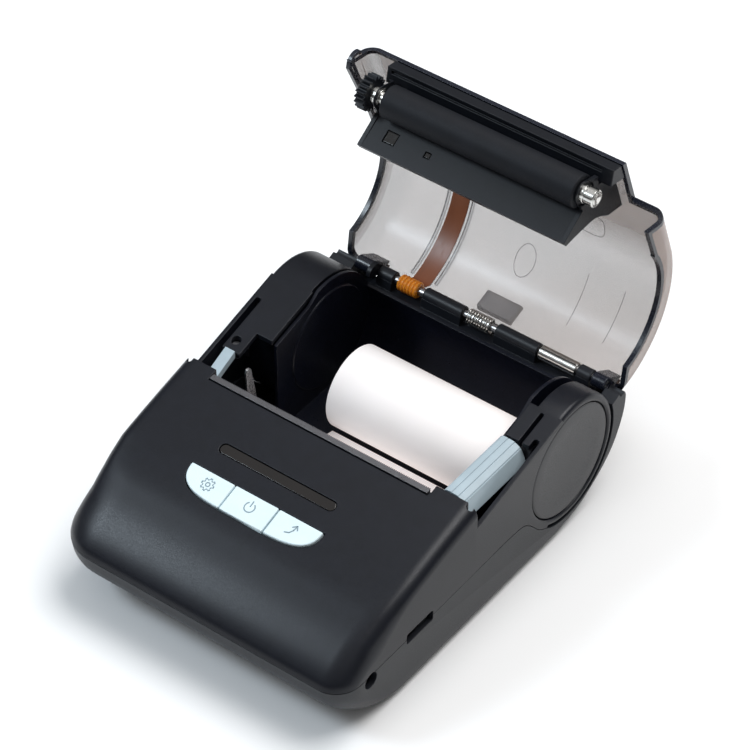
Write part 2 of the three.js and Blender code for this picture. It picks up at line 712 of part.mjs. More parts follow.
function lidArm([x0, x1]) {
  const arm = prism([[HINGE.y - 2.2, HINGE.z + 1.6], [HINGE.y + 1.2, HINGE.z - 2.4], [65, 46.6], [65.2, 50],
    [62.4, 52.4]], x0, x1);
  return arm.add(rodX(HINGE, 2.7, x0, x1, 20));
}

// small walled pocket that takes the spring's leg, standing on the skin's inner face
function springTab() {
  const [x0, x1] = [-5.2, 9.4];
  return prism([[57.4, 56], [60.6, 49.4], [63.4, 50.4], [59.6, 58]], x0, x1);
}

function flexRibs() {
  const rib = (x0, x1) => {
    const outer = arc(LID, LID.r - LID.wall + 0.2, 120, 27, 18);
    const inner = arc(LID, LID.r - LID.wall - 1.1, 27, 120, 18);
    return prism([...outer, ...inner], x0, x1);
  };
  return [rib(-34.8, -33.8), rib(-24.2, -23.2)];
}

function lidShell() {
  let lid = lidBlock(LID.half, LID.edge, 0, LIP.y);
  lid = lid.subtract(lidBlock(LID.half - LID.wall, LID.edge - LID.wall, LID.wall, LIP.y - 4));
  lid = lid.subtract(lidRimCut(-90, 90));
  lid = lid.subtract(scoopCut());
  lid = lid.add(lidLobe());
  lid = join(lid, springTab(), ...flexRibs(), ...ARMS.map(lidArm));
  return lid.subtract(rodX(HINGE, SHAFT_R + RUNNING, -80, 80, 20));
}

function lipBar() {
  const under = LID.wall + GAP;
  const front = LIP.y + 0.3;
  const back = -17.4;
  const top = [[back, lidTopLine(back, under)], [front, lidTopLine(front, under)]];
  return prism([[front, 41.8], [back, 41.4], ...top], -48, SCOOP_X - 0.4);
}

const BRACKET = { left: -45, right: 42, wall: 1.6 };

function bracketCheek(x0, x1) {
  const outline = [[-21.2, 33.4], ...arc(PLATEN, 4.4, 175, 285, 8), [-10.2, 32.6], [-1.6, 23], [0.2, 24.6],
    ...spline([[0.2, 24.6], [-1.6, 33], [-2.6, 42], [0.2, 50]], 8).slice(1), [0.2, lidTopLine(0.2, 2.2)],
    [-16.9, lidTopLine(-16.9, 2.2)], [-16.9, 40.4], [-20.6, 39.6]];
  return prism(outline, x0, x1);
}

function platenBracket() {
  const face = prism([[-10.4, 33.6], [-1.6, 23], [0.2, 24.6], [-9, 35.8]], BRACKET.left, BRACKET.right);
  const web = prism([[-10.4, 33.6], [-9, 35.8], [-9.4, 45], [-11, 45]], BRACKET.left, BRACKET.right);
  const spine = prism([[-11, 43], [-9.4, 43], [-9.4, lidTopLine(-9.4, 2.2)], [-11, lidTopLine(-11, 2.2)]],
    BRACKET.left, BRACKET.right);
  const ends = [bracketCheek(BRACKET.left, BRACKET.left + BRACKET.wall),
    bracketCheek(BRACKET.right - BRACKET.wall, BRACKET.right)];
  const bore = rodX(PLATEN, PLATEN.bush + 0.1, BRACKET.left - 1, BRACKET.right + 1);
  const windows = join(sensorCut(-37.4, -32.4, 4.8), sensorCut(-20.6, -18, 2.4));
  return join(face, web, spine, ...ends).subtract(bore).subtract(windows);
}

// a sensor window is a square hole through the middle of the sloping face
function sensorCut(x0, x1, size) {
  const hole = block(x0, x1, -size / 2, size / 2, -4, 4);
  return hole.rotate([-50.4, 0, 0]).translate([0, -6, 28.6]);
}

function sensor(x0, x1, size) {
  const lens = block(x0 + GAP, x1 - GAP, -size / 2 + GAP, size / 2 - GAP, -0.6, 0.4);
  return lens.rotate([-50.4, 0, 0]).translate([0, -5.6, 29]);
}

// lies along the skin and turns in at its end towards the coil round the hinge
function flexStrip() {
  const outer = arc(LID, LID.r - LID.wall - 0.3, 112, 25, 20);
  const inner = arc(LID, LID.r - LID.wall - 0.7, 25, 112, 20);
  return prism([...outer, [61.5, 46], [61.2, 46.3], ...inner], -32.8, -25.4);
}

function bushing(x0, x1) {
  return tubeX(PLATEN, PLATEN.bush, PLATEN.shaft + RUNNING, x0, x1);
}

function platenRubber() {
  return tubeX(PLATEN, PLATEN.r, PLATEN.shaft + 0.05, -PLATEN.half, PLATEN.half, 32);
}

// ---------------------------------------------------------------- assembly

function group(name, ...meshes) {
  const set = new THREE.Group();
  set.name = name;
  set.add(...meshes);
  return set;
}

function caseGroup() {
  const feet = FEET.map(([x, y], i) => meshFrom(`foot_${i + 1}`, rodZ(x, y, 5, 0, FLOOR_Z - GAP), RUBBER));
  const screw = ([x, y]) => rodZ(x, y, 2.1, FLOOR_Z + 0.4, 9, 16);
  const screws = SCREWS.map((at, i) => meshFrom(`case_screw_${i + 1}`, screw(at), DARK_STEEL));
  return group('case',
    meshFrom('base_shell', baseShell(), CASE),
    meshFrom('upper_shell', upperShell(), CASE),
    meshFrom('side_cap_right', sideCap(59.6, HALF_WIDTH - 0.3), CASE),
    meshFrom('side_cap_left', sideCap(-59.6, -HALF_WIDTH + 0.3), CASE),
    meshFrom('bay_tub', bayTub(), CASE_DARK),
    meshFrom('battery_door', block(DOOR.x0, DOOR.x1, DOOR.y0, DOOR.y1, FLOOR_Z, FLOOR_Z + 2), CASE_DARK),
    meshFrom('cheek_screw', cheekScrew(), DARK_STEEL),
    ...feet,
    ...screws);
}

function electricsGroup() {
  return group('electrics',
    meshFrom('battery_pack', battery(), CELL),
    meshFrom('main_board', mainBoard(), BOARD),
    meshFrom('usb_connector', usbConnector(), STEEL),
    meshFrom('dc_jack', dcJack(), CASE_DARK),
    meshFrom('key_board', keyBoard(), BOARD),
    meshFrom('indicator_window', indicatorWindow(), LENS));
}

function keysGroup() {
  const half = KEYS.split / 2;
  const [first, second] = KEYS.cuts;
  return group('keys',
    meshFrom('key_settings', keySolid(-60, first - half), KEY),
    meshFrom('key_power', keySolid(first + half, second - half), KEY),
    meshFrom('key_feed', keySolid(second + half, 60), KEY));
}

function mechanismGroup() {
  const [near, far] = [GEAR_X[0] + GAP, GEAR_X[1] - GAP - 0.1];
  const pinion = gear(PINION, PINION.teeth, near, far, MOTOR_SHAFT_R + RUNNING, 0);
  const idler = gear(IDLER, IDLER.teeth, near, far, IDLER_POST_R + RUNNING, Math.PI / IDLER.teeth);
  return group('mechanism',
    meshFrom('head_frame', headFrame(), DARK_STEEL),
    meshFrom('print_head', printHead(), CASE_DARK),
    meshFrom('heat_sink', heatSink(), ALLOY),
    meshFrom('head_spring_left', headSpring(-25), STEEL),
    meshFrom('head_spring_right', headSpring(25), STEEL),
    meshFrom('tear_bar', tearBar(), STEEL),
    meshFrom('tear_bar_holder', tearBarHolder(), CASE_DARK),
    meshFrom('step_motor', stepMotor(), ALLOY),
    meshFrom('gearbox_plate', gearboxPlate(), DARK_STEEL),
    meshFrom('motor_pinion', pinion, GEAR),
    meshFrom('idler_gear', idler, GEAR));
}

function latchGroup() {
  return group('latch',
    meshFrom('release_lever', releaseLever(), LEVER),
    meshFrom('left_latch', leftLatch(), LEVER),
    meshFrom('latch_shaft', rodX(LATCH_SHAFT, LATCH_SHAFT.r, -57.4, 54, 24), DARK_STEEL),
    meshFrom('hook_left', hook(-46.1, -45.3), STEEL),
    meshFrom('hook_right', hook(46.0, 46.8), STEEL),
    meshFrom('hook_shaft', rodX(HOOK_SHAFT, HOOK_SHAFT.r, -46.1, 46.8, 20), STEEL));
}

function hingeGroup() {
  return group('hinge',
    meshFrom('hinge_shaft', rodX(HINGE, SHAFT_R, -51.6, 55.6, 20), STEEL),
    meshFrom('hinge_sleeve', tubeX(HINGE, 2.7, SHAFT_R + RUNNING, ...SLEEVE_X), STEEL),
    meshFrom('flex_coil', tubeX(HINGE, 3.2, SHAFT_R + 0.3, ...FLEX_X), FLEX),
    meshFrom('hinge_bracket', hingeBracket(), CASE_DARK));
}

function paperGroup() {
  const leader = [[10, 11.2], [10, 11.5], [-6, 15.3], [-21, 20.9], [-21, 20.6], [-6, 15]];
  return group('paper',
    meshFrom('paper_roll', tubeX(ROLL, ROLL.r, ROLL.core + 1.2, ROLL.left, ROLL.right, 48), PAPER),
    meshFrom('roll_core', tubeX(ROLL, ROLL.core + 1.1, ROLL.core, ROLL.left + 0.4, ROLL.right - 0.4), CARD),
    meshFrom('paper_leader', prism(leader, ROLL.left, 38), PAPER));
}

function lidGroup() {
  const pieces = group('lid_pieces',
    meshFrom('lid_shell', lidShell(), SMOKE),
    meshFrom('lip_bar', lipBar(), CASE_DARK),
    meshFrom('platen_bracket', platenBracket(), CASE_DARK),
    meshFrom('sensor_large', sensor(-37.4, -32.4, 4.8), LENS),
    meshFrom('sensor_small', sensor(-20.6, -18, 2.4), LENS),
    meshFrom('flex_strip', flexStrip(), FLEX),
    meshFrom('torsion_spring', torsionSpring(), STEEL),
    meshFrom('bushing_left', bushing(-46.2, -42.6), STEEL),
    meshFrom('bushing_right', bushing(40.3, 46.6), STEEL),
    meshFrom('platen_shaft', rodX(PLATEN, PLATEN.shaft, -50.6, 46.9), STEEL),
    meshFrom('platen_rubber', platenRubber(), RUBBER),
    meshFrom('platen_gear', gear(PLATEN, PLATEN_TEETH, ...GEAR_X, PLATEN.shaft + 0.05, 0), GEAR));
  pieces.position.set(0, -HINGE.y, -HINGE.z);
  const lid = group('lid', pieces);
  lid.position.set(0, HINGE.y, HINGE.z);
  lid.rotation.x = -THREE.MathUtils.degToRad(LID_OPEN_DEG);
  return lid;
}

const printer = group('receipt_printer', caseGroup(), electricsGroup(), keysGroup(), mechanismGroup(),
  latchGroup(), hingeGroup(), paperGroup(), lidGroup());

// the origin is under the middle of the open printer's bounding box, on the ground
printer.updateMatrixWorld(true);
const bounds = new THREE.Box3().setFromObject(printer, true);
const middle = bounds.getCenter(new THREE.Vector3());
printer.position.set(-middle.x, -middle.y, -bounds.min.z);
printer.updateMatrixWorld(true);

export default printer;
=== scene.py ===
"""Looks of a portable receipt printer with its smoked lid swung open.

Shapes are drawn in millimetres in the printer's own frame, as in the CAD: X = 0 is the middle, Y = 30 is
the centre of the round ears and the feet stand on Z = 0. What rides on the lid is drawn closed and then
swung open. place() carries every piece to the row frame in metres.
"""

import json
import math

import bmesh
import bpy
from mathutils import Matrix, Vector

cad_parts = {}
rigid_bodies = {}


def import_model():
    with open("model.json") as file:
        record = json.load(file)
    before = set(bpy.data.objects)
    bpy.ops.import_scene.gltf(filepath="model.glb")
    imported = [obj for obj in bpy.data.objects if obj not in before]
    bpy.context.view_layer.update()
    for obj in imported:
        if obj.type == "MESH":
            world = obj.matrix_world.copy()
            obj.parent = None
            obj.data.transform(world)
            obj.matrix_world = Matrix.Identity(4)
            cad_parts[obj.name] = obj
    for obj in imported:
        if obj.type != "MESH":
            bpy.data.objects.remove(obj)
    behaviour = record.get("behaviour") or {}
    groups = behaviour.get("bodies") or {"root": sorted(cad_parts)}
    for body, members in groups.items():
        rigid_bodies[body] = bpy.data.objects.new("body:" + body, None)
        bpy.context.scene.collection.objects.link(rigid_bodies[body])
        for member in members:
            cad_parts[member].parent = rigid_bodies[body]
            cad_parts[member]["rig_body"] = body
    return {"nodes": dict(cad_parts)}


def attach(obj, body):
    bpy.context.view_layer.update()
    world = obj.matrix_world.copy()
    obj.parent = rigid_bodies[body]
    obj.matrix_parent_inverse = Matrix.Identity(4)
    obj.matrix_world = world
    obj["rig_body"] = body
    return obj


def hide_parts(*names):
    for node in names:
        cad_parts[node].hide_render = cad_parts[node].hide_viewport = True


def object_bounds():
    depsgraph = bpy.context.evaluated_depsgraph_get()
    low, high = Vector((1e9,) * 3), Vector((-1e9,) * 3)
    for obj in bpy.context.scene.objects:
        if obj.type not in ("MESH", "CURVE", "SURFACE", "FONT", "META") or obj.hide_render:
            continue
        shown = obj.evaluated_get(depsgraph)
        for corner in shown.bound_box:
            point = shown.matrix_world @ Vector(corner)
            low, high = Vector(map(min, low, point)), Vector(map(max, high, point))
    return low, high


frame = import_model()
cad_low, cad_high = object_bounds()

MM = 0.001

# ---- driving dimensions, mm

HALF_WIDTH = 62.3
FRONT_Y = -99.0
SEAM_Z = 23.7
FLOOR_Z = 2.2
WALL = 2.2
SIDE_WALL = 1.5
GAP = 0.3
CORNER_LEFT_R = 17.0
CORNER_RIGHT_R = 10.0
TOP_EDGE_R = 5.0
BOTTOM_EDGE_R = 4.0
SHIFT_Y = cad_low.y / MM - FRONT_Y

EAR = (30.0, 32.4)
EAR_R = 25.4
CAP_R = 22.2
EAR_SPANS = ((52.0, HALF_WIDTH), (-45.0, -HALF_WIDTH))
EAR_SEGMENTS = 160
EAR_SOFT = 1.7
POCKET_ROLL = 0.9
CAP_INNER_X = 59.6
PLATE = 2.0

HINGE = (60.6, 42.0)
LID_OPEN = math.radians(98)
SHAFT_R = 1.5
RUNNING = 0.15
KNUCKLE_R = 2.7
ARM_ROOM_R = 6.4

LID_HALF = 60.4
LID_CENTRE = (30.0, 34.2)
LID_R = 37.8
LID_WALL = 1.8
LID_EDGE_R = 4.8
LIP = (-24.1, 48.6)
RIM = (29.5, 35.0)
RIM_R = 26.4
SCOOP_X = 46.8
RIM_BAND = 1.7
LOBE_FRAME = 1.3
OVAL_MARK = (2.4, 63.0, 4.0, 10.0)
BOSS_MARK = (25.0, 105.0, 6.0, 8.0)
SKIN_LINES_X = (27.7, 43.2)
SKIN_LINE_TURN = (40, 74)

PLATEN = (-16.9, 32.9)
PLATEN_R = 6.2
PLATEN_HALF = 40.0
AXLE_R = 2.5
AXLE_BORE_R = 2.55
BUSH_BORE_R = 2.65
BUSH_R = 3.3
GEAR_TEETH = 19
GEAR_MODULE = 0.65
ROLL = (22.0, 24.7)
ROLL_R = 16.0
ROLL_CORE_R = 6.0
CARD = 1.1
ROLL_SPAN = (-25.5, 44.5)

BAY = {"left": -42.8, "right": 47.2, "floor": 8.2, "r": 24.2, "skin": 1.2}
CHEEK_SLOPE = 0.262
CHEEK_FRONT = (-27.0, 43.7)
COVER_BACK_Y = -25.0
LATCH_SHAFT = (-32.0, 44.0)
HOOK_SHAFT = (-9.0, 20.0)
LATCH_SHAFT_R = 2.0
HOOK_SHAFT_R = 1.5

TEAR = {"left": -48.0, "right": 45.0, "front": -29.2, "back": -26.6, "top": 53.6}
USB = {"y": -56.7, "z": 23.5, "half_width": 7.3, "half_height": 2.4, "corner_r": 1.1}
JACK = (-83.5, 21.0)
JACK_R = 3.2
PORT_SPAN = (56, 64)
KEYS = {"y": -63.4, "back": 4.8, "front": -5.4, "left": -31.6, "right": 24.1, "split": 0.5}
KEY_CUTS = (-12.8, 5.7)
KEY_TOP = 0.9
ICON_Z = (KEY_TOP + 0.03, KEY_TOP + 0.11)
WINDOW = {"y": -49.0, "left": -27.3, "right": 21.3, "half": 1.9}
KEY_ROOM = 0.4
POCKET = 12.0
CHEEK_SCREW = (-55.6, -5.2)
CHEEK_SCREW_R = 1.8
LID_SLOTS_X = (58.4, 60.8)
ABOVE_Z = 62
LEVER = {"left": 47.3, "right": 58.0, "front": -23.4, "back": 9.0, "top": 52.8}

COVER_TOP = [(-99, 23.7), (-97.5, 26.6), (-93, 30.6), (-86, 35), (-78, 38.9), (-70, 42.2), (-57, 46.2),
             (-40, 50.6), (-25, 54.1)]
BASE_NOSE = [(-99, SEAM_Z - GAP), (-97.9, 18), (-94.6, 12.6), (-86.2, 5.8), (-74, 2.5), (-66, FLOOR_Z)]
BASE_TAIL = [(24, FLOOR_Z), (36, 4.6), (44, 8.4), (52.2, 14.6), (58, 22), (62, 31), (63.1, 38.4),
             (62, 41.4)]
SEAM_DIP = [(-8, 24), (1.7, 23.3), (6.9, 19.7), (11.9, 13.9), (17, 10.6)]

HINGE_ARMS = ((-52, -44.6), (50.6, 56))
BASE_KNUCKLES = ((-42, -35.4), (-22, -5), (9.6, 27.4), (44.4, 50))
SLEEVE_SPAN = (28.0, 43.8)
FLEX_SPAN = (-33.2, -24.8)
FLEX_TURNS = 6
SPRING_SPAN = (-3.6, 7.6)
SPRING_R = 2.6
SPRING_TURNS = 9.0

# ---- camera, stage and light

CAMERA_TARGET = Vector((-17.5, 24.4 + SHIFT_Y, 32.2)) * MM
CAMERA_AZIMUTH = math.radians(37.04)
CAMERA_ELEVATION = math.radians(43.03)
CAMERA_DISTANCE = 1264.6 * MM
CAMERA_LENS = 172.7
SENSOR = 36.0
ROOM_DIM = 0.06
ROOM_BRIGHT = 0.56
ROOM_RAMP = (0.2, 0.95)
SOFTBOXES = (  # name, place, target, size, power, tint
    ("top_softbox", (0.32, 0.6, 1.55), (0, 0, 0.03), (1.3, 1.1), 27, (1, 1, 1)),
    ("nose_softbox", (-0.8, -0.6, 1.0), (0, -0.05, 0.03), (0.42, 0.42), 8.5, (0.78, 0.9, 1.0)),
)
FLOOR_SIZE = 30


def add_object(name, data):
    made = bpy.data.objects.new(name, data)
    bpy.context.scene.collection.objects.link(made)
    return made


def aim(made, place, direction):
    made.location = place
    made.rotation_mode = "QUATERNION"
    made.rotation_quaternion = direction.to_track_quat("-Z", "Y")


def camera_back():
    flat = math.cos(CAMERA_ELEVATION)
    return Vector((math.sin(CAMERA_AZIMUTH) * flat, -math.cos(CAMERA_AZIMUTH) * flat,
                   math.sin(CAMERA_ELEVATION)))


def make_camera():
    data = bpy.data.cameras.new("camera")
    data.lens = CAMERA_LENS
    data.sensor_width = SENSOR
    data.clip_start = 0.01
    data.clip_end = 20
    camera = add_object("camera", data)
    aim(camera, CAMERA_TARGET + camera_back() * CAMERA_DISTANCE, -camera_back())
    bpy.context.scene.camera = camera


def softbox(name, place, target, size, power, tint):
    data = bpy.data.lights.new(name, "AREA")
    data.shape = "RECTANGLE"
    data.size, data.size_y = size
    data.energy = power
    data.color = tint
    aim(add_object(name, data), place, Vector(target) - Vector(place))


def make_stage():
    world = bpy.data.worlds.new("studio")
    bpy.context.scene.world = world
    world.use_nodes = True
    tree = world.node_tree
    background = tree.nodes["Background"]
    background.inputs["Color"].default_value = (1, 1, 1, 1)
    height = tree.nodes.new("ShaderNodeSeparateXYZ")
    tree.links.new(tree.nodes.new("ShaderNodeTexCoord").outputs["Generated"], height.inputs[0])
    strength = spread(tree, height.outputs["Z"], ROOM_DIM, ROOM_BRIGHT, *ROOM_RAMP)
    tree.links.new(strength, background.inputs["Strength"])
    bpy.ops.mesh.primitive_plane_add(size=FLOOR_SIZE)
    floor = bpy.context.object
    floor.name = "floor"
    floor.data.materials.append(plain("floor_white", (0.86, 0.86, 0.86), 0.9))
    for box in SOFTBOXES:
        softbox(*box)
    bpy.context.scene.view_settings.view_transform = "Standard"
    bpy.context.scene.view_settings.look = "None"


# ---- materials

COORD_SPREAD = 14.0  # how much broader the mottle is than the grain
RING_PITCH = 0.45


def plain(name, colour, roughness):
    material = bpy.data.materials.new(name)
    material.use_nodes = True
    shader = material.node_tree.nodes["Principled BSDF"]
    shader.inputs["Base Color"].default_value = (*colour, 1)
    shader.inputs["Roughness"].default_value = roughness
    return material


def node(tree, kind, **settings):
    made = tree.nodes.new(kind)
    for key, value in settings.items():
        if key in made.inputs:
            made.inputs[key].default_value = value
        else:
            setattr(made, key, value)
    return made


def noise(tree, coords, scale, detail, stretch):
    mapping = node(tree, "ShaderNodeMapping", Scale=stretch)
    tree.links.new(coords, mapping.inputs["Vector"])
    made = node(tree, "ShaderNodeTexNoise", Scale=scale, Detail=detail)
    tree.links.new(mapping.outputs["Vector"], made.inputs["Vector"])
    return made.outputs["Fac"]


def spread(tree, value, low, high, start=0.3, end=0.7):
    """Carries a value's range from start to end over to low to high, and holds it beyond the ends."""
    made = node(tree, "ShaderNodeMapRange", clamp=True,
                **{"From Min": start, "From Max": end, "To Min": low, "To Max": high})
    tree.links.new(value, made.inputs["Value"])
    return made.outputs["Result"]


def shade(colour, factor):
    return (*[min(1.0, c * factor) for c in colour], 1)


def blend_colours(tree, factor, first, second):
    made = tree.nodes.new("ShaderNodeMix")
    made.data_type = "RGBA"
    tree.links.new(factor, made.inputs[0])
    for slot, value in ((6, first), (7, second)):
        if isinstance(value, tuple):
            made.inputs[slot].default_value = value
        else:
            tree.links.new(value, made.inputs[slot])
    return made.outputs[2]


def operate(tree, kind, operation, value, other=None):
    made = node(tree, "ShaderNode" + kind, operation=operation)
    tree.links.new(value, made.inputs[0])
    if other is not None:
        made.inputs[1].default_value = other
    return made


def edge_mask(tree, rounded):
    """1 where the rounded normal leaves the true one, so on edges, and 0 on flats."""
    geometry = tree.nodes.new("ShaderNodeNewGeometry")
    dot = operate(tree, "VectorMath", "DOT_PRODUCT", rounded)
    tree.links.new(geometry.outputs["Normal"], dot.inputs[1])
    return spread(tree, dot.outputs["Value"], 1.0, 0.0, 0.8, 0.985)


def finish_material(name, colour, roughness, grain, bump, edge, wear, metallic=0.0, vary=0.12,
                    stretch=(1, 1, 1), specular=0.5, rough_vary=0.08):
    """Mottled colour and gloss, fine grain, and edges that look rounder and a little lighter."""
    material = plain(name, colour, roughness)
    tree = material.node_tree
    shader = tree.nodes["Principled BSDF"]
    shader.inputs["Metallic"].default_value = metallic
    shader.inputs["Specular IOR Level"].default_value = specular
    coords = tree.nodes.new("ShaderNodeTexCoord").outputs["Object"]
    broad = noise(tree, coords, grain / COORD_SPREAD, 3.0, stretch)
    fine = noise(tree, coords, grain, 5.0, stretch)
    rounded = node(tree, "ShaderNodeBevel", Radius=edge * MM, samples=6).outputs["Normal"]
    mottle = spread(tree, broad, 0.0, 1.0)
    body = blend_colours(tree, mottle, shade(colour, 1 - vary), shade(colour, 1 + vary))
    worn = blend_colours(tree, edge_mask(tree, rounded), body, shade(colour, wear))
    tree.links.new(worn, shader.inputs["Base Color"])
    gloss = spread(tree, fine, roughness - rough_vary, roughness + rough_vary)
    tree.links.new(gloss, shader.inputs["Roughness"])
    relief = node(tree, "ShaderNodeBump", Strength=bump, Distance=0.05 * MM)
    tree.links.new(fine, relief.inputs["Height"])
    tree.links.new(rounded, relief.inputs["Normal"])
    tree.links.new(relief.outputs["Normal"], shader.inputs["Normal"])
    return material


def smoke_material(name, colour, clear, dense):
    """Smoked clear plastic: thin where it faces the eye, denser where it is seen along its wall."""
    material = finish_material(name, colour, 0.22, vary=0.05, grain=600, bump=0.04, edge=0.3, wear=1.1,
                               rough_vary=0.04)
    tree = material.node_tree
    shader = tree.nodes["Principled BSDF"]
    facing = tree.nodes.new("ShaderNodeLayerWeight")
    facing.inputs["Blend"].default_value = 0.35
    tree.links.new(spread(tree, facing.outputs["Facing"], clear, dense, 0.2, 0.8), shader.inputs["Alpha"])
    return material


def paper_material():
    """Thermal paper. A faint warm glow is painted light, standing for the light that comes through its
    sheets.
    """
    material = finish_material("paper", (0.95, 0.905, 0.885), 0.75, vary=0.02, grain=900, bump=0.05,
                               edge=0.2, wear=0.98, specular=0.25)
    shader = material.node_tree.nodes["Principled BSDF"]
    # painted light: a faint warm glow that keeps the paper's shaded side warm and light
    shader.inputs["Emission Color"].default_value = (1.0, 0.86, 0.82, 1)
    shader.inputs["Emission Strength"].default_value = 0.12
    return material


def wound_material():
    """The roll's end: thin rings of paper edges about its axis."""
    material = finish_material("wound_paper", (0.88, 0.83, 0.81), 0.85, vary=0.03, grain=900, bump=0.05,
                               edge=0.1, wear=0.98, specular=0.2)
    tree = material.node_tree
    shader = tree.nodes["Principled BSDF"]
    coords = tree.nodes.new("ShaderNodeTexCoord").outputs["Object"]
    centre = row_point(0, *ROLL)
    middle = node(tree, "ShaderNodeMapping", Location=(0, -centre.y, -centre.z))
    tree.links.new(coords, middle.inputs["Vector"])
    flat = operate(tree, "VectorMath", "MULTIPLY", middle.outputs["Vector"], (0, 1, 1))
    distance = operate(tree, "VectorMath", "LENGTH", flat.outputs["Vector"])
    turns = operate(tree, "Math", "MULTIPLY", distance.outputs["Value"], 2 * math.pi / (RING_PITCH * MM))
    waves = operate(tree, "Math", "SINE", turns.outputs["Value"])
    ringed = blend_colours(tree, spread(tree, waves.outputs["Value"], 0.0, 1.0, -1, 1),
                           (0.74, 0.69, 0.67, 1), (0.93, 0.89, 0.87, 1))
    tree.links.new(ringed, shader.inputs["Base Color"])
    return material


# ---- curves and solids, mm


def clamp(value, low, high):
    return max(low, min(high, value))


def spline(points, steps):
    """Even Catmull-Rom curve through the points, ends included."""
    made = []
    last = len(points) - 1
    for i in range(steps + 1):
        place = last * i / steps
        k = min(int(place), last - 1)
        t = place - k
        a, b, c, d = (points[clamp(k + j, 0, last)] for j in (-1, 0, 1, 2))
        made.append(tuple(
            0.5 * (2 * b[n] + (c[n] - a[n]) * t + (2 * a[n] - 5 * b[n] + 4 * c[n] - d[n]) * t ** 2
                   + (3 * b[n] - a[n] - 3 * c[n] + d[n]) * t ** 3) for n in (0, 1)))
    return made


def arc(centre, radius, start, end, steps):
    """Points from one angle to another, in degrees, about a centre."""
    angles = [math.radians(start + (end - start) * i / steps) for i in range(steps + 1)]
    return [(centre[0] + radius * math.cos(a), centre[1] + radius * math.sin(a)) for a in angles]


def new_solid(points, faces):
    mesh = bpy.data.meshes.new("solid")
    mesh.from_pydata(points, [], faces)
    work = bmesh.new()
    work.from_mesh(mesh)
    bmesh.ops.remove_doubles(work, verts=work.verts, dist=1e-5)
    bmesh.ops.recalc_face_normals(work, faces=work.faces)
    work.to_mesh(mesh)
    work.free()
    return add_object("solid", mesh)


def loft(rings, closed=False):
    """Joins equal rings (x, [(y, z), ...]). Both ends are capped or, if closed, joined to each other."""
    count = len(rings[0][1])
    last = len(rings) - 1
    points = [(x, y, z) for x, ring in rings for y, z in ring]
    faces = [] if closed else [[i + r * count for i in range(count)] for r in (0, last)]
    for r in range(last + 1 if closed else last):
        step = ((r + 1) % (last + 1) - r) * count
        for i in range(count):
            a, b = r * count + i, r * count + (i + 1) % count
            faces.append([a, b, b + step, a + step])
    return new_solid(points, faces)


def prism(outline, x0, x1):
    return loft([(x0, outline), (x1, outline)])


def plan_prism(outline, z0, z1):
    """An outline in X and Y, raised from z0 to z1."""
    count = len(outline)
    points = [(x, y, z) for z in (z0, z1) for x, y in outline]
    faces = [list(range(count)), list(range(count, 2 * count))]
    for i in range(count):
        j = (i + 1) % count
        faces.append([i, j, j + count, i + count])
    return new_solid(points, faces)


def block(x0, x1, y0, y1, z0, z1):
    return prism([(y0, z0), (y1, z0), (y1, z1), (y0, z1)], x0, x1)


def full_ring(centre, radius, segments):
    return arc(centre, radius, 0, 360 - 360 / segments, segments - 1)


def turned(centre, profile, segments, closed=False):
    """A profile of (x, radius) turned about the axis along X at centre. A closed one is a ring."""
    return loft([(x, full_ring(centre, r, segments)) for x, r in profile], closed)


def rod(centre, radius, x0, x1, chamfer=0.0, segments=96):
    if not chamfer:
        return turned(centre, [(x0, radius), (x1, radius)], segments)
    return turned(centre, [(x0, radius - chamfer), (x0 + chamfer, radius), (x1 - chamfer, radius),
                           (x1, radius - chamfer)], segments)


def tube(centre, outer, inner, x0, x1, chamfer, segments=96):
    c = chamfer
    return turned(centre, [(x0, inner), (x0, outer - c), (x0 + c, outer), (x1 - c, outer), (x1, outer - c),
                           (x1, inner)], segments, closed=True)


def upright(x, y, radius, z0, z1):
    return plan_prism(full_ring((x, y), radius, 48), z0, z1)


def evaluated_mesh(made):
    bpy.context.view_layer.update()
    return bpy.data.meshes.new_from_object(made.evaluated_get(bpy.context.evaluated_depsgraph_get()))


def combine(operation, base, tools):
    """Joins or cuts base with the tools, which are used up."""
    for tool in tools:
        step = base.modifiers.new("step", "BOOLEAN")
        step.operation = operation
        step.solver = "MANIFOLD"
        step.material_mode = "TRANSFER"
        step.object = tool
    mesh = evaluated_mesh(base)
    base.modifiers.clear()
    base.data = mesh
    for tool in tools:
        bpy.data.objects.remove(tool)
    return base


def cut(base, *tools):
    return combine("DIFFERENCE", base, tools)


def join(base, *tools):
    return combine("UNION", base, tools)


def shared(base, tool):
    return combine("INTERSECT", base, [tool])


def wire(points, radius, sides=3):
    """A round wire along points, as a mesh."""
    data = bpy.data.curves.new("wire", "CURVE")
    data.dimensions = "3D"
    data.bevel_depth = radius
    data.bevel_resolution = sides
    data.use_fill_caps = True
    line = data.splines.new("POLY")
    line.points.add(len(points) - 1)
    for spot, point in zip(line.points, points):
        spot.co = (*point, 1)
    curve = add_object("wire", data)
    mesh = evaluated_mesh(curve)
    bpy.data.objects.remove(curve)
    return add_object("wire", mesh)


def merge(base, *others):
    """One object from several that don't need cutting."""
    work = bmesh.new()
    work.from_mesh(base.data)
    for other in others:
        work.from_mesh(other.data)
        bpy.data.objects.remove(other)
    work.to_mesh(base.data)
    work.free()
    return base


def stations(half, radius, steps):
    """Places across the width: a straight middle, and both ends spaced for a quarter round."""
    right = [half - radius + radius * math.sin(math.pi / 2 * i / steps) for i in range(steps + 1)]
    return [-x for x in reversed(right)] + right


def round_inset(x, half, radius):
    over = abs(x) - (half - radius)
    return 0.0 if over <= 0 else radius - math.sqrt(max(0.0, radius ** 2 - over ** 2))


def cheek_z(y):
    return CHEEK_FRONT[1] + CHEEK_SLOPE * (y - CHEEK_FRONT[0])


def cover_z(y):
    curve = spline(COVER_TOP, 120)
    after = next(i for i, p in enumerate(curve) if p[0] >= y)
    (y0, z0), (y1, z1) = curve[after - 1], curve[after]
    return z0 + (z1 - z0) * (y - y0) / (y1 - y0)


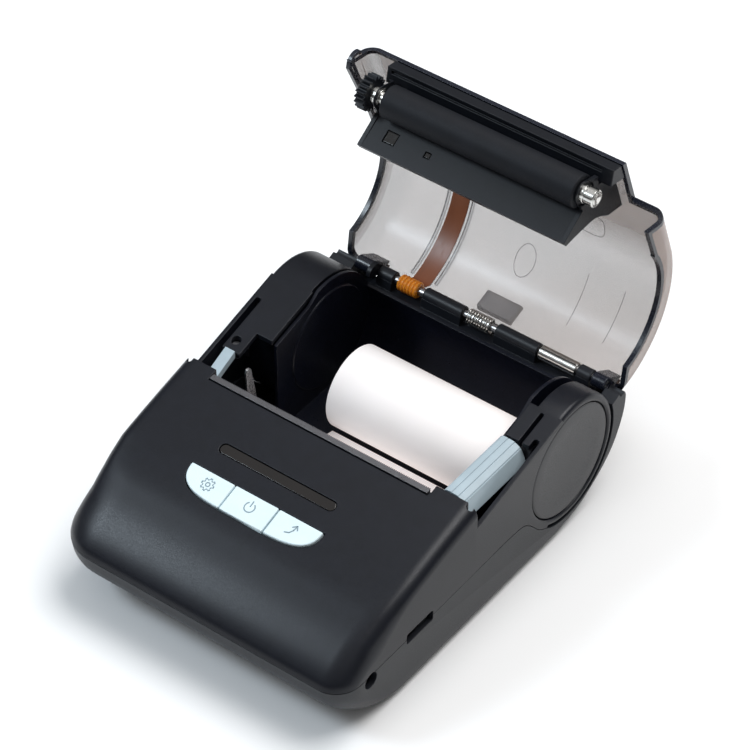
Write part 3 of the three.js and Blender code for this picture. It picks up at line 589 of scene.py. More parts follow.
CORNER_FADES_Y = -60.0
CORNER_FULL_Y = -87.0


def corner_radius(x, shrink):
    return (CORNER_LEFT_R if x < 0 else CORNER_RIGHT_R) - shrink


def front_shift(y, x, shrink):
    """The front corners are round in plan, and the round fades out towards the rear."""
    weight = clamp((CORNER_FADES_Y - y) / (CORNER_FADES_Y - CORNER_FULL_Y), 0, 1)
    return y + round_inset(x, HALF_WIDTH - shrink, corner_radius(x, shrink)) * weight


def case_stations(shrink, steps):
    half = HALF_WIDTH - shrink
    left = [x for x in stations(half, corner_radius(-1, shrink), steps) if x < 0]
    return left + [x for x in stations(half, corner_radius(1, shrink), steps) if x > 0]


# ---- placing


def open_matrix():
    hinge = Vector((0, *HINGE))
    return Matrix.Translation(hinge) @ Matrix.Rotation(-LID_OPEN, 4, "X") @ Matrix.Translation(-hinge)


def row_matrix(swung):
    to_row = Matrix.Scale(MM, 4) @ Matrix.Translation((0, SHIFT_Y, 0))
    return to_row @ open_matrix() if swung else to_row


def row_point(x, y, z):
    return row_matrix(swung=False) @ Vector((x, y, z))


def smooth_below(mesh, degrees):
    """Smooth shading, with edges sharper than this left crisp."""
    work = bmesh.new()
    work.from_mesh(mesh)
    for face in work.faces:
        face.smooth = True
    for edge in work.edges:
        edge.smooth = edge.is_manifold and edge.calc_face_angle() < math.radians(degrees)
    work.to_mesh(mesh)
    work.free()


def place(piece, name, material, *nodes, swung=False, bevel=0.0, angle=35.0, body=None):
    """Carries a finished solid to the row frame, gives it its look and rides it with what it stands for."""
    piece.name = name
    piece.data.name = name
    piece.data.transform(row_matrix(swung))
    smooth_below(piece.data, angle)
    if not piece.data.materials:
        piece.data.materials.append(material)
    else:
        piece.data.materials[0] = material
    if bevel:
        rounding = piece.modifiers.new("rounding", "BEVEL")
        rounding.width = bevel * MM
        rounding.segments = 3
        rounding.limit_method = "ANGLE"
        rounding.angle_limit = math.radians(angle)
        rounding.harden_normals = True
    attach(piece, body or frame["nodes"][nodes[0]]["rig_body"])
    if nodes:
        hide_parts(*nodes)
    return piece


# ---- case


def cover_block(shrink, bottom_z, back_y):
    top = spline(COVER_TOP, 72)
    rings = []
    for x in case_stations(shrink, 18):
        inset = round_inset(x, HALF_WIDTH - shrink, TOP_EDGE_R - shrink / 2)
        ring = [(front_shift(FRONT_Y + shrink, x, shrink), bottom_z)]
        for y, z in top:
            lowered = z - shrink - inset * clamp((z - SEAM_Z) / 10, 0, 1)
            ring.append((front_shift(min(y + shrink, back_y), x, shrink), max(lowered, bottom_z + 0.05)))
        ring[-1] = (back_y, ring[-1][1])
        rings.append((x, ring + [(back_y, bottom_z)]))
    return loft(rings)


def side_profile():
    y, z = CHEEK_FRONT
    return [(y - 4, SEAM_Z), *spline(SEAM_DIP, 24), EAR, (23.4, cheek_z(23.4)), (y, z), (y - 4, z - 1)]


def cheek_plate(x0, x1, y0, y1):
    return prism([(y0, cheek_z(y0) - PLATE), (y1, cheek_z(y1) - PLATE), (y1, cheek_z(y1)),
                  (y0, cheek_z(y0))], x0, x1)


def mirrored_profile(inner, outer, profile):
    """A profile whose x runs outwards from the inner face, laid in either direction along X."""
    way = 1 if outer > inner else -1
    return [(inner + way * x, r) for x, r in profile]


def ear_drum(inner, outer):
    """Round ear with a full edge on its outer rim."""
    depth, soft = abs(outer - inner), EAR_SOFT
    rim = [(depth - soft + soft * math.sin(a), EAR_R - soft + soft * math.cos(a))
           for a in (math.pi / 2 * i / 10 for i in range(11))]
    return turned(EAR, mirrored_profile(inner, outer, [(0, EAR_R)] + rim), EAR_SEGMENTS)


def ear_pocket(inner, outer):
    """Recess for the side cap, with a rolled mouth."""
    depth, roll = abs(outer - inner), POCKET_ROLL
    mouth_r = CAP_R + GAP
    lip = [(depth - roll + roll * math.sin(a), mouth_r + roll * (1 - math.cos(a)))
           for a in (math.pi / 2 * i / 8 for i in range(9))]
    profile = [(PLATE, mouth_r)] + lip + [(depth + 1, mouth_r + roll)]
    return turned(EAR, mirrored_profile(inner, outer, profile), EAR_SEGMENTS)


def slot(x0, x1, y0, y1, z0, z1):
    """A cutter along Y with round ends."""
    r = (x1 - x0) / 2
    middle = x0 + r
    outline = arc((middle, y0 + r), r, -180, -15, 11) + arc((middle, y1 - r), r, 0, 165, 11)
    return plan_prism(outline, z0, z1)


def lid_slots():
    """Slots in the cheeks for the lid's sides, and the short one beside the lever."""
    near, far = LID_SLOTS_X
    reach = (CHEEK_FRONT[0], 13, 33, ABOVE_Z)
    return [slot(-far, -near, *reach), slot(near, far, *reach), slot(54.2, 55.8, 9, 22.5, 49, ABOVE_Z)]


def lever_well():
    return block(46.9, 58.4, -25, 9.4, 41, 60)


def port_cuts():
    y, z, w, h = USB["y"], USB["z"], USB["half_width"], USB["half_height"]
    r = USB["corner_r"]
    mouth = []
    for right, up, start in ((1, 1, 0), (-1, 1, 90), (-1, -1, 180), (1, -1, 270)):
        mouth += arc((y + right * (w - r), z + up * (h - r)), r, start, start + 90, 5)
    return [prism(mouth, *PORT_SPAN), rod(JACK, JACK_R, *PORT_SPAN, segments=48)]


def cover_tilt(y):
    return math.atan2(cover_z(y + 3) - cover_z(y - 3), 6)


def on_cover(solid, y):
    """Carries a piece drawn flat to the sloping cover, about its own point."""
    solid.data.transform(Matrix.Translation((0, y, cover_z(y))) @ Matrix.Rotation(cover_tilt(y), 4, "X"))
    return solid


def signed_power(value, power):
    return math.copysign(abs(value) ** power, value)


def key_outline(grow):
    """Plan of the key group: straight at the back, round towards the front."""
    steps = 40
    mid, half = (KEYS["left"] + KEYS["right"]) / 2, (KEYS["right"] - KEYS["left"]) / 2 + grow
    outline = []
    for i in range(steps + 1):
        a = math.pi * i / steps
        x = half * signed_power(math.cos(a), 0.45)
        depth = (KEYS["back"] - KEYS["front"] + grow) * math.sin(a) ** 0.75
        outline.append((mid + x, KEYS["back"] - depth))
    outline[0] = (outline[0][0], KEYS["back"] + grow)
    outline[-1] = (outline[-1][0], KEYS["back"] + grow)
    return outline


def pill(left, right, half):
    return arc((right - half, 0), half, -90, 90, 14) + arc((left + half, 0), half, 90, 270, 14)


def build_cover(looks):
    shell = cut(cover_block(0, SEAM_Z, COVER_BACK_Y), cover_block(WALL, SEAM_Z - 1, COVER_BACK_Y + 5))
    key_pocket = on_cover(plan_prism(key_outline(KEY_ROOM), -POCKET, POCKET), KEYS["y"])
    mouth = pill(WINDOW["left"] - GAP, WINDOW["right"] + GAP, WINDOW["half"] + GAP)
    window_pocket = on_cover(plan_prism(mouth, -POCKET, POCKET), WINDOW["y"])
    tear_slot = block(TEAR["left"] - 0.4, TEAR["right"] + 0.4, TEAR["front"] - 0.4, 0, 40, 60)
    shell = cut(shell, tear_slot, key_pocket, window_pocket)
    sides = [prism(side_profile(), HALF_WIDTH - SIDE_WALL, HALF_WIDTH),
             prism(side_profile(), -HALF_WIDTH, SIDE_WALL - HALF_WIDTH)]
    plates = [cheek_plate(-61, EAR_SPANS[1][0] + 0.6, 0.6, 24), cheek_plate(-61, -51, -9.5, 2),
              cheek_plate(BAY["right"] + 1.6, 61, 9.6, 24)]
    shell = join(shell, *sides, *plates, *[ear_drum(*span) for span in EAR_SPANS])
    screw_hole = upright(*CHEEK_SCREW, CHEEK_SCREW_R, 40, ABOVE_Z)
    ear_pockets = [ear_pocket(*span) for span in EAR_SPANS]
    shell = cut(shell, *ear_pockets, *lid_slots(), lever_well(), screw_hole, *port_cuts())
    place(shell, "cover", looks["case"], "upper_shell")


def base_block():
    nose, tail = spline(BASE_NOSE, 36), spline(BASE_TAIL, 48)
    scoop = arc(EAR, EAR_R + 0.5, 18, -115, 60)
    dip = [(y, z - GAP) for y, z in reversed(spline(SEAM_DIP, 24))]
    upper = [(59.8, 42.4), *scoop, *dip, (-60, SEAM_Z - GAP)]
    rings = []
    for x in case_stations(0, 18):
        inset = round_inset(x, HALF_WIDTH, BOTTOM_EDGE_R)
        bottom = []
        for y, z in nose + tail:
            lift = inset * clamp((20 - z) / 12, 0, 1) * 0.3
            bottom.append((front_shift(y, x, 0), z + lift))
        rings.append((x, bottom + upper))
    return loft(rings)


def base_hollow():
    inner = [(-96, 30), (-94.6, 19.5), (-91, 15), (-83.5, 9), (-73, FLOOR_Z + WALL),
             (20, FLOOR_Z + WALL), (26, 6.2), (26, 30)]
    return loft([(x, [(front_shift(y, x, WALL), z) for y, z in inner]) for x in case_stations(WALL, 8)])


def base_knuckle(x0, x1):
    foot = prism([(56.9, 37), (61.8, 37), (63.2, 42), (57.8, 42)], x0, x1)
    return join(rod(HINGE, KNUCKLE_R, x0, x1, 0.25, 48), foot)


def pin_hole():
    return rod(HINGE, SHAFT_R + RUNNING, -80, 80, segments=48)


def build_base(looks):
    arm_rooms = [rod(HINGE, ARM_ROOM_R, x0 - 0.4, x1 + 0.4) for x0, x1 in HINGE_ARMS]
    shell = cut(base_block(), base_hollow(), *arm_rooms, block(-44.6, 51, 50, 70, 38.4, 50))
    shell = join(shell, *[base_knuckle(*span) for span in BASE_KNUCKLES])
    door = block(-44 - GAP, 24 + GAP, -65 - GAP, -30 + GAP, 0, 6)
    wells = [upright(x, y, 2.5, 0, 12) for x in (-54, 54) for y in (-48, 4)]
    shell = cut(shell, pin_hole(), *port_cuts(), door, *wells)
    place(shell, "base", looks["base"], "base_shell")


def build_caps(looks):
    """Side caps: shallow dished discs, with a fine groove near the rim."""
    for name, way in (("right", 1), ("left", -1)):
        inner, outer = way * CAP_INNER_X, way * (HALF_WIDTH - GAP)
        depth = abs(outer - inner)
        face = [(0, CAP_R), (depth - 0.6, CAP_R), (depth - 0.35, CAP_R - 0.1), (depth - 0.1, CAP_R - 0.5),
                (depth, CAP_R - 1.1), (depth - 0.25, CAP_R - 6), (depth - 0.45, 6), (depth - 0.5, 0.01)]
        cap = turned(EAR, mirrored_profile(inner, outer, face), EAR_SEGMENTS)
        place(cap, "side_disc_" + name, looks["cap"], "side_cap_" + name)


def build_tub(looks):
    skin = BAY["skin"]
    outer = BAY["r"] + skin

    def path(r, z):
        return [(-7, z), (EAR[0] - 3, z), *arc(EAR, r, -82, 20, 48)]

    left, right, floor = BAY["left"], BAY["right"], BAY["floor"]
    section = path(outer, floor - skin) + path(BAY["r"], floor)[::-1]
    trough = prism(section, left - skin, right + skin)
    ends = []
    for x0, x1, front in ((left - skin, left, 1.2), (right, right + skin, -6.5)):
        wall = [(front, floor - 0.7), (EAR[0], floor - 0.9), *arc(EAR, outer - 0.2, -84, 100, 60),
                (20, cheek_z(20) - 2.5), (front, cheek_z(front) - 2.4)]
        ends.append(prism(wall, x0, x1))
    end_disc = rod(EAR, 20.5, left - 0.4, left + 0.6, 0.4)
    tub = cut(join(trough, *ends, end_disc), lever_well())
    place(tub, "paper_bay", looks["bay"], "bay_tub")


# ---- keys and window


def icon_ring(x, y, outer, inner, start=0.0, stop=360.0):
    """A full ring, or the part of it from start to stop degrees."""
    steps = 48
    ring = arc((x, y), outer, start, stop, steps)
    back = arc((x, y), inner, stop, start, steps)
    if stop - start >= 360:
        return cut(plan_prism(ring[:-1], *ICON_Z), plan_prism(back[:-1], 0, 2))
    return plan_prism(ring + back, *ICON_Z)


def icon_stroke(points, width):
    """A stroke of even width along straight runs."""
    parts = []
    for (xa, ya), (xb, yb) in zip(points, points[1:]):
        run = Vector((xb - xa, yb - ya)).normalized()
        side = Vector((-run.y, run.x)) * width / 2
        a, b = Vector((xa, ya)) - run * width / 4, Vector((xb, yb)) + run * width / 4
        corners = [tuple(corner) for corner in (a - side, b - side, b + side, a + side)]
        parts.append(plan_prism(corners, *ICON_Z))
    return merge(*parts)


def gear_icon(x, y):
    outline = []
    teeth = 8
    for i in range(teeth):
        for part, r in ((-0.32, 2.0), (-0.2, 2.65), (0.2, 2.65), (0.32, 2.0)):
            a = 2 * math.pi * (i + part) / teeth
            outline.append((x + r * math.cos(a), y + r * math.sin(a)))
    inner = [(x + (px - x) * 0.82, y + (py - y) * 0.82) for px, py in outline]
    body = cut(plan_prism(outline, *ICON_Z), plan_prism(inner, 0, 2))
    return merge(body, icon_ring(x, y, 0.95, 0.6))


def power_icon(x, y):
    return merge(icon_ring(x, y, 2.1, 1.72, 125, 415), icon_stroke([(x, y + 0.3), (x, y + 2.5)], 0.4))


def feed_icon(x, y):
    stem = [(x - 1.8, y - 1.7), (x - 0.2, y - 1.2), (x + 0.7, y + 0.2), (x + 1.0, y + 2.0)]
    head = [(x - 0.3, y + 1.1), (x + 1.05, y + 2.2), (x + 1.9, y + 0.8)]
    return merge(icon_stroke(stem, 0.42), icon_stroke(head, 0.42))


def build_keys(looks):
    half = KEYS["split"] / 2
    first, second = KEY_CUTS
    keys = (("settings", -60, first - half, gear_icon, -21.4),
            ("power", first + half, second - half, power_icon, -3.5),
            ("feed", second + half, 60, feed_icon, 14.2))
    for name, x0, x1, icon, icon_x in keys:
        key = shared(plan_prism(key_outline(0), -3, KEY_TOP), block(x0, x1, -20, 20, -5, 3))
        place(on_cover(key, KEYS["y"]), name + "_key_top", looks["key"], "key_" + name, bevel=0.55)
        mark = on_cover(icon(icon_x, 0.2), KEYS["y"])
        place(mark, name + "_mark", looks["mark"], body=name + "_key")


def build_window(looks):
    lens = plan_prism(pill(WINDOW["left"], WINDOW["right"], WINDOW["half"]), -2.4, -0.15)
    place(on_cover(lens, WINDOW["y"]), "window_lens", looks["lens"], "indicator_window", bevel=0.25)


# ---- print mechanism in the case


def build_tear_bar(looks):
    """Steel strip with a fine saw edge along its back."""
    pitch, depth = 0.7, 0.55
    left, front, back = TEAR["left"], TEAR["front"], TEAR["back"]
    count = int((TEAR["right"] - left) / pitch)
    outline = [(left, front), (left + count * pitch, front)]
    for i in range(count, 0, -1):
        outline += [(left + i * pitch, back - depth), (left + (i - 0.5) * pitch, back)]
    outline.append((left, back - depth))
    place(plan_prism(outline, TEAR["top"] - 1, TEAR["top"]), "saw_edge", looks["saw"], "tear_bar")


def gear_outline(centre, teeth, module):
    pitch = module * teeth / 2
    tip, root = pitch + 0.55, pitch - 0.75
    outline = []
    for i in range(teeth):
        middle = 2 * math.pi * i / teeth
        flank = ((0.66, root), (0.44, pitch - 0.2), (0.3, pitch + 0.25), (0.16, tip))
        rising = [(-across, radius) for across, radius in flank]
        for across, radius in rising + list(reversed(flank)):
            a = middle + across / radius
            outline.append((centre[0] + radius * math.cos(a), centre[1] + radius * math.sin(a)))
    return outline


SWAP_Y_Z = Matrix(((1, 0, 0, 0), (0, 0, 1, 0), (0, 1, 0, 0), (0, 0, 0, 1)))


def build_latches(looks):
    """The faceted lever pad, the left latch bar and the two hook plates."""
    left, right, front, back, top = (LEVER[k] for k in ("left", "right", "front", "back", "top"))
    facets = [(0, -0.8), (1.0, 0), (2.9, 0.1), (3.1, -0.35), (3.3, 0.05), (5.6, -0.15), (5.8, -0.6),
              (6.0, -0.35), (8.0, -1.4), (8.15, -1.95), (8.45, -1.75)]
    side = [(right - 1.0, top - 4.4), (right, top - 7.4), (right - 2, top - 7.4)]
    under = [(left + 8.2, top - 4), (left + 5.6, top - 2.7), (left, top - 2.7)]
    profile = [(left + x, top + z) for x, z in facets] + side + under
    pad = plan_prism(profile, front, back)
    pad.data.transform(SWAP_Y_Z)
    pad.data.flip_normals()
    lever = join(pad, latch_arm(50, 53.5, -18, 49.2))
    place(lever, "lever_pad", looks["lever"], "release_lever", bevel=0.22, angle=28)
    pad = prism([(-22, 41.4), (-10, 46.4), (-10, 49.4), (-20.6, 44.8), (-22, 43.9)], -56.6, -52.4)
    bar = join(pad, latch_arm(-55.9, -52.6, -19, 41.8))
    place(bar, "left_latch_bar", looks["lever"], "left_latch", bevel=0.35)
    for name, x0, x1 in (("left", -46.1, -45.3), ("right", 46.0, 46.8)):
        place(hook_plate(x0, x1), "hook_plate_" + name, looks["steel"], "hook_" + name, bevel=0.12)


def latch_arm(x0, x1, end_y, end_z):
    side = [(-34.2, 42.6), (-30, 41.8), (end_y, end_z - 2), (end_y, end_z + 2), (-30, 46.2), (-34, 45.8)]
    arm = join(prism(side, x0, x1), rod(LATCH_SHAFT, 3.4, x0, x1, 0.3, 48))
    return cut(arm, rod(LATCH_SHAFT, LATCH_SHAFT_R + 0.05, x0 - 1, x1 + 1, segments=48))


def hook_plate(x0, x1):
    y, z = HOOK_SHAFT
    foot = [(y - 2.6, z - 2.4), (y + 2.6, z - 2.4), (y + 3, z + 2)]
    tip = [(y - 1, 45), (y - 1.5, 45.7), (y - 2.2, 46), (y - 3.2, 45.9), (y - 3.7, 45.2), (y - 3.8, 44.2)]
    side = foot + tip + [(y - 3.4, 34), (y - 3.2, z + 4)]
    return cut(prism(side, x0, x1), rod(HOOK_SHAFT, HOOK_SHAFT_R + 0.05, x0 - 1, x1 + 1, segments=40))


def shaft(name, centre, radius, x0, x1, look, cad):
    place(rod(centre, radius, x0, x1, 0.3, 48), name, look, cad)


def build_shafts(looks):
    shaft("latch_bar", LATCH_SHAFT, LATCH_SHAFT_R, -57.4, 54, looks["dark_steel"], "latch_shaft")
    shaft("hook_bar", HOOK_SHAFT, HOOK_SHAFT_R, -46.1, 46.8, looks["steel"], "hook_shaft")


# ---- hinge line


def helix(centre, radius, x0, x1, turns):
    total = int(turns * 28)
    ring = arc(centre, radius, 0, 360 * turns, total)
    return [(x0 + (x1 - x0) * i / total, *point) for i, point in enumerate(ring)]


def build_hinge(looks):
    shaft("hinge_pin", HINGE, SHAFT_R, -51.6, 55.6, looks["steel"], "hinge_shaft")
    sleeve = tube(HINGE, KNUCKLE_R, SHAFT_R + RUNNING, *SLEEVE_SPAN, 0.35)
    place(sleeve, "pin_sleeve", looks["bright"], "hinge_sleeve")
    x0, x1 = FLEX_SPAN
    step = (x1 - x0) / FLEX_TURNS
    bore = SHAFT_R + 0.3
    profile = [(x0, bore)]
    for i in range(FLEX_TURNS):
        for t in (0.04, 0.2, 0.35, 0.5, 0.65, 0.8, 0.96):
            profile.append((x0 + step * (i + t), 2.65 + 0.55 * math.sin(math.pi * t)))
    profile.append((x1, bore))
    place(turned(HINGE, profile, 64, closed=True), "flex_turns", looks["flex"], "flex_coil")
    side = [(54, 43.8), (54.5, 45.3), (55.6, 46.4), (57.4, 47), (59.6, 46.8), (61.4, 45.9), (62.6, 44.6),
            (62.4, 41.6), (56.4, 41.6)]
    bracket = cut(prism(side, -44.2, -42.4), rod(HINGE, SHAFT_R + RUNNING, -50, -40, segments=40))
    place(bracket, "pin_bracket", looks["black"], "hinge_bracket", bevel=0.25)


def build_spring(looks):
    x0, x1 = SPRING_SPAN
    coil = helix(HINGE, SPRING_R, x0 + 0.5, x1 - 0.9, SPRING_TURNS)
    leg_end = (x1 + 1.6, HINGE[0] + 1.2, HINGE[1] + 5.4)
    leg = [coil[-1], (x1 - 0.5, HINGE[0] + 2.6, HINGE[1] + 2.4), leg_end]
    spring = merge(wire(coil, 0.42), wire(leg, 0.4))
    place(spring, "wound_spring", looks["bright"], "torsion_spring", swung=True)


# ---- paper


def build_paper(looks):
    x0, x1 = ROLL_SPAN
    soft = 0.35
    bore = ROLL_CORE_R + CARD + 0.1
    profile = [(x0, bore), (x0, ROLL_R - soft), (x0 + soft, ROLL_R), (x1 - soft, ROLL_R),
               (x1, ROLL_R - soft), (x1, bore)]
    roll = turned(ROLL, profile, 128, closed=True)
    roll.data.materials.append(looks["paper"])
    roll.data.materials.append(looks["wound"])
    for face in roll.data.polygons:
        if abs(face.normal.x) > 0.9:
            face.material_index = 1
    place(roll, "receipt_roll", looks["paper"], "paper_roll", angle=50)
    core = tube(ROLL, ROLL_CORE_R + CARD, ROLL_CORE_R, x0 + 0.4, x1 - 0.4, 0.1)
    place(core, "card_core", looks["card"], "roll_core")


# ---- lid, drawn closed


LINE_ANGLE = (math.atan2(LID_CENTRE[1] - LIP[1], LID_CENTRE[0] - LIP[0])
              + math.asin(LID_R / math.dist(LIP, LID_CENTRE)))


def lid_top(y, drop):
    return LIP[1] + math.tan(LINE_ANGLE) * (y - LIP[0]) - drop / math.cos(LINE_ANGLE)


def lid_profile(inset, front_y):
    sweep = arc(LID_CENTRE, LID_R - inset, 18, 90 + math.degrees(LINE_ANGLE), 72)
    foot = [(front_y, 30), (LID_CENTRE[0] + LID_R - inset - 1.9, 30)]
    return foot + sweep + [(front_y, lid_top(front_y, inset))]


def lid_block(half, edge, inset, front_y):
    return loft([(x, lid_profile(inset + round_inset(x, half, edge), front_y))
                 for x in stations(half, edge, 16)])


def rim_cutters(x0, x1, grow=0.0):
    g = grow
    under = prism([(-60, -5), (40, -5), (40, 35), (10, 53.6 + g), (-0.7, 47.7 + g), (-60, 14 + g)], x0, x1)
    rear = prism([(29, -5), (90, -5), (90, 46.2 + g), (45, 46.2 + g), (29, 58 + g)], x0, x1)
    return [under, rod(RIM, RIM_R + g, x0, x1, segments=160), rear]


def scoop_cutter(grow=0.0):
    corner = arc((-10, 53), 7 + grow, 0, 90, 14)
    return prism([(-60, -5), (-3 + grow, -5), (-3 + grow, 46), *corner, (-60, 80)], SCOOP_X - grow, 70)


def offset(outline, distance):
    """Moves a closed outline, drawn clockwise, inwards by a distance, corner by corner."""
    made = []
    count = len(outline)
    for i in range(count):
        before, here, after = (Vector(outline[(i + k) % count]) for k in (-1, 0, 1))
        first, second = (here - before).normalized(), (after - here).normalized()
        normal = Vector((first.y + second.y, -first.x - second.x)).normalized()
        lean = max(0.4, normal.dot(Vector((first.y, -first.x))))
        made.append(tuple(here + normal * distance / lean))
    return made


def lobe_outline():
    tip = arc((-21.6, 38.9), 4.5, -110, -200, 14)
    return [(12, 55.4), (-20.6, 34.5), *tip, (LIP[0], 41.2), (20, 63.5)]


def lid_lobe(looks):
    """The lobe's skin, and the dark frame round it."""
    x0, x1 = -LID_HALF, 1.6 - LID_HALF
    whole = lobe_outline()
    inside = offset(whole, LOBE_FRAME)[:-2] + [(LIP[0] + LOBE_FRAME, 60), (20, 75)]
    skin = shared(prism(whole, x0, x1), prism(inside, x0 - 1, x1 + 1))
    edging = cut(prism(whole, x0, x1), prism(inside, x0 - 1, x1 + 1))
    return tinted(looks["rim"], edging) + tinted(looks["smoke"], skin)


def lid_arm(x0, x1):
    y, z = HINGE
    arm = prism([(y - 2.2, z + 1.6), (y + 1.2, z - 2.4), (65, 46.6), (65.2, 50), (62.4, 52.4)], x0, x1)
    return join(arm, rod(HINGE, KNUCKLE_R, x0, x1, 0.2, 48))


def flex_rib(x0, x1):
    r = LID_R - LID_WALL
    return prism(arc(LID_CENTRE, r + 0.2, 120, 27, 60) + arc(LID_CENTRE, r - 1.1, 27, 120, 60), x0, x1)


def tinted(look, *solids):
    """Gives solids a look of their own before they are joined or cut."""
    for solid in solids:
        solid.data.materials.clear()
        solid.data.materials.append(look)
    return list(solids)


def twin(solid):
    return add_object(solid.name, solid.data.copy())


def build_lid(looks):
    """The clear skin carries the smoke look, every cut edge and arm the darker rim look, and the ribs the
    smoked tab look.
    """
    smoke, rim = looks["smoke"], looks["rim"]
    [outer, inner] = tinted(smoke, lid_block(LID_HALF, LID_EDGE_R, 0, LIP[0]),
                            lid_block(LID_HALF - LID_WALL, LID_EDGE_R - LID_WALL, LID_WALL, LIP[0] - 4))
    shell = cut(outer, inner, *tinted(rim, *rim_cutters(-90, 90), scoop_cutter()))
    front_strip = block(-48.4, 90, -40, -18.6, 20, 90)
    front_edge = block(-90, 90, -40, LIP[0] + RIM_BAND, 20, 90)
    near_edges = join(*rim_cutters(-90, 90, RIM_BAND), scoop_cutter(RIM_BAND), front_strip, front_edge)
    band = shared(twin(shell), twin(near_edges))
    for i in range(len(band.data.materials)):
        band.data.materials[i] = rim
    lobe_room = prism(lobe_outline(), -LID_HALF - 1, 1.6 - LID_HALF)
    shell = cut(join(cut(shell, near_edges), band), lobe_room)
    ribs = tinted(looks["smoke_tab"], flex_rib(-34.8, -33.8), flex_rib(-24.2, -23.2))
    shell = join(shell, *lid_lobe(looks), *tinted(rim, *[lid_arm(*span) for span in HINGE_ARMS]), *ribs)
    shell = cut(shell, *tinted(rim, pin_hole()))
    place(shell, "smoked_lid", smoke, "lid_shell", swung=True, angle=32)


def skin_point(x, degrees):
    """A point on the lid's inner skin, by its place along the width and its angle round the back."""
    r = LID_R - LID_WALL
    a = math.radians(degrees)
    return x, LID_CENTRE[0] + r * math.cos(a), LID_CENTRE[1] + r * math.sin(a)


def skin_loop(x, degrees, half_x, half_degrees, power):
    """A closed line on the skin: an ellipse at power 1, and squarer as the power falls."""
    made = []
    for i in range(41):
        t = 2 * math.pi * i / 40
        made.append(skin_point(x + half_x * signed_power(math.cos(t), power),
                               degrees + half_degrees * signed_power(math.sin(t), power)))
    return made


def build_skin_marks(looks):
    """Faint moulding marks inside the lid: an ejector oval, a squarish boss and two joint lines."""
    marks = [skin_loop(*OVAL_MARK, 1.0), skin_loop(*BOSS_MARK, 0.55)]
    for x in SKIN_LINES_X:
        marks.append([skin_point(x, a) for a in range(SKIN_LINE_TURN[0], SKIN_LINE_TURN[1], 2)])
    lines = merge(*[wire(points, 0.11, sides=1) for points in marks])
    place(lines, "skin_marks", looks["smoke_tab"], body="lid", swung=True)


def build_spring_pocket(looks):
    pocket = prism([(57.4, 56), (60.6, 49.4), (63.4, 50.4), (59.6, 58)], -5.2, 9.4)
    place(pocket, "spring_pocket", looks["smoke_tab"], body="lid", swung=True, bevel=0.3)


def build_lip(looks):
    under = LID_WALL + GAP
    front, back = LIP[0] + 0.3, -17.4
    side = [(front, 41.8), (back, 41.4), (back, lid_top(back, under)), (front, lid_top(front, under))]
    bar = cut(prism(side, -48, SCOOP_X - 0.4), block(-46, SCOOP_X - 5, -22.6, -21.4, 40, 42.6))
    place(bar, "lip_rail", looks["black"], "lip_bar", swung=True, bevel=0.3)


BRACKET_SPAN = (-45.0, 42.0)
SENSORS = (("large", -37.4, -32.4, 2.4), ("small", -20.6, -18, 1.2))
FACE_TILT = math.radians(-50.4)


def bracket_cheek(x0, x1):
    outline = [(-21.2, 33.4), *arc(PLATEN, 4.4, 175, 285, 24), (-10.2, 32.6), (-1.6, 23), (0.2, 24.6),
               *spline([(0.2, 24.6), (-1.6, 33), (-2.6, 42), (0.2, 50)], 24)[1:], (0.2, lid_top(0.2, 2.2)),
               (-16.9, lid_top(-16.9, 2.2)), (-16.9, 40.4), (-20.6, 39.6)]
    return prism(outline, x0, x1)


def tilted_block(x0, x1, half, z0, z1, at):
    made = block(x0, x1, -half, half, z0, z1)
    made.data.transform(Matrix.Translation((0, *at)) @ Matrix.Rotation(FACE_TILT, 4, "X"))
    return made


def build_bracket(looks):
    left, right = BRACKET_SPAN
    face = prism([(-10.4, 33.6), (-1.6, 23), (0.2, 24.6), (-9, 35.8)], left, right)
    web = prism([(-10.4, 33.6), (-9, 35.8), (-9.4, 45), (-11, 45)], left, right)
    under = LID_WALL + 0.4
    front, back = -11, -9.4
    spine = prism([(front, 43), (back, 43), (back, lid_top(back, under)), (front, lid_top(front, under))],
                  left, right)
    whole = join(face, web, spine, bracket_cheek(left, left + 1.6), bracket_cheek(right - 1.6, right))
    near_axle = [rod(PLATEN, 3.4, left - 1, right + 1, segments=64),
                 rod(PLATEN, 4.6, right - 1, right + 1, segments=64),
                 rod(PLATEN, 4.6, left - 1, left + 1.2, segments=64),
                 block(left - 1, left + 1.2, -40, PLATEN[0] + 1, 20, 39)]
    recesses = [tilted_block(x0, x1, half, -4, 1.1, (-6, 28.6)) for _, x0, x1, half in SENSORS]
    whole = cut(whole, *near_axle, *recesses)
    place(whole, "platen_carrier", looks["black"], "platen_bracket", swung=True, bevel=0.25)
    for name, x0, x1, half in SENSORS:
        lens = tilted_block(x0 + GAP, x1 - GAP, half - GAP, -0.6, 0.4, (-5.6, 29))
        place(lens, "sensor_lens_" + name, looks["lens"], "sensor_" + name, swung=True, bevel=0.15)


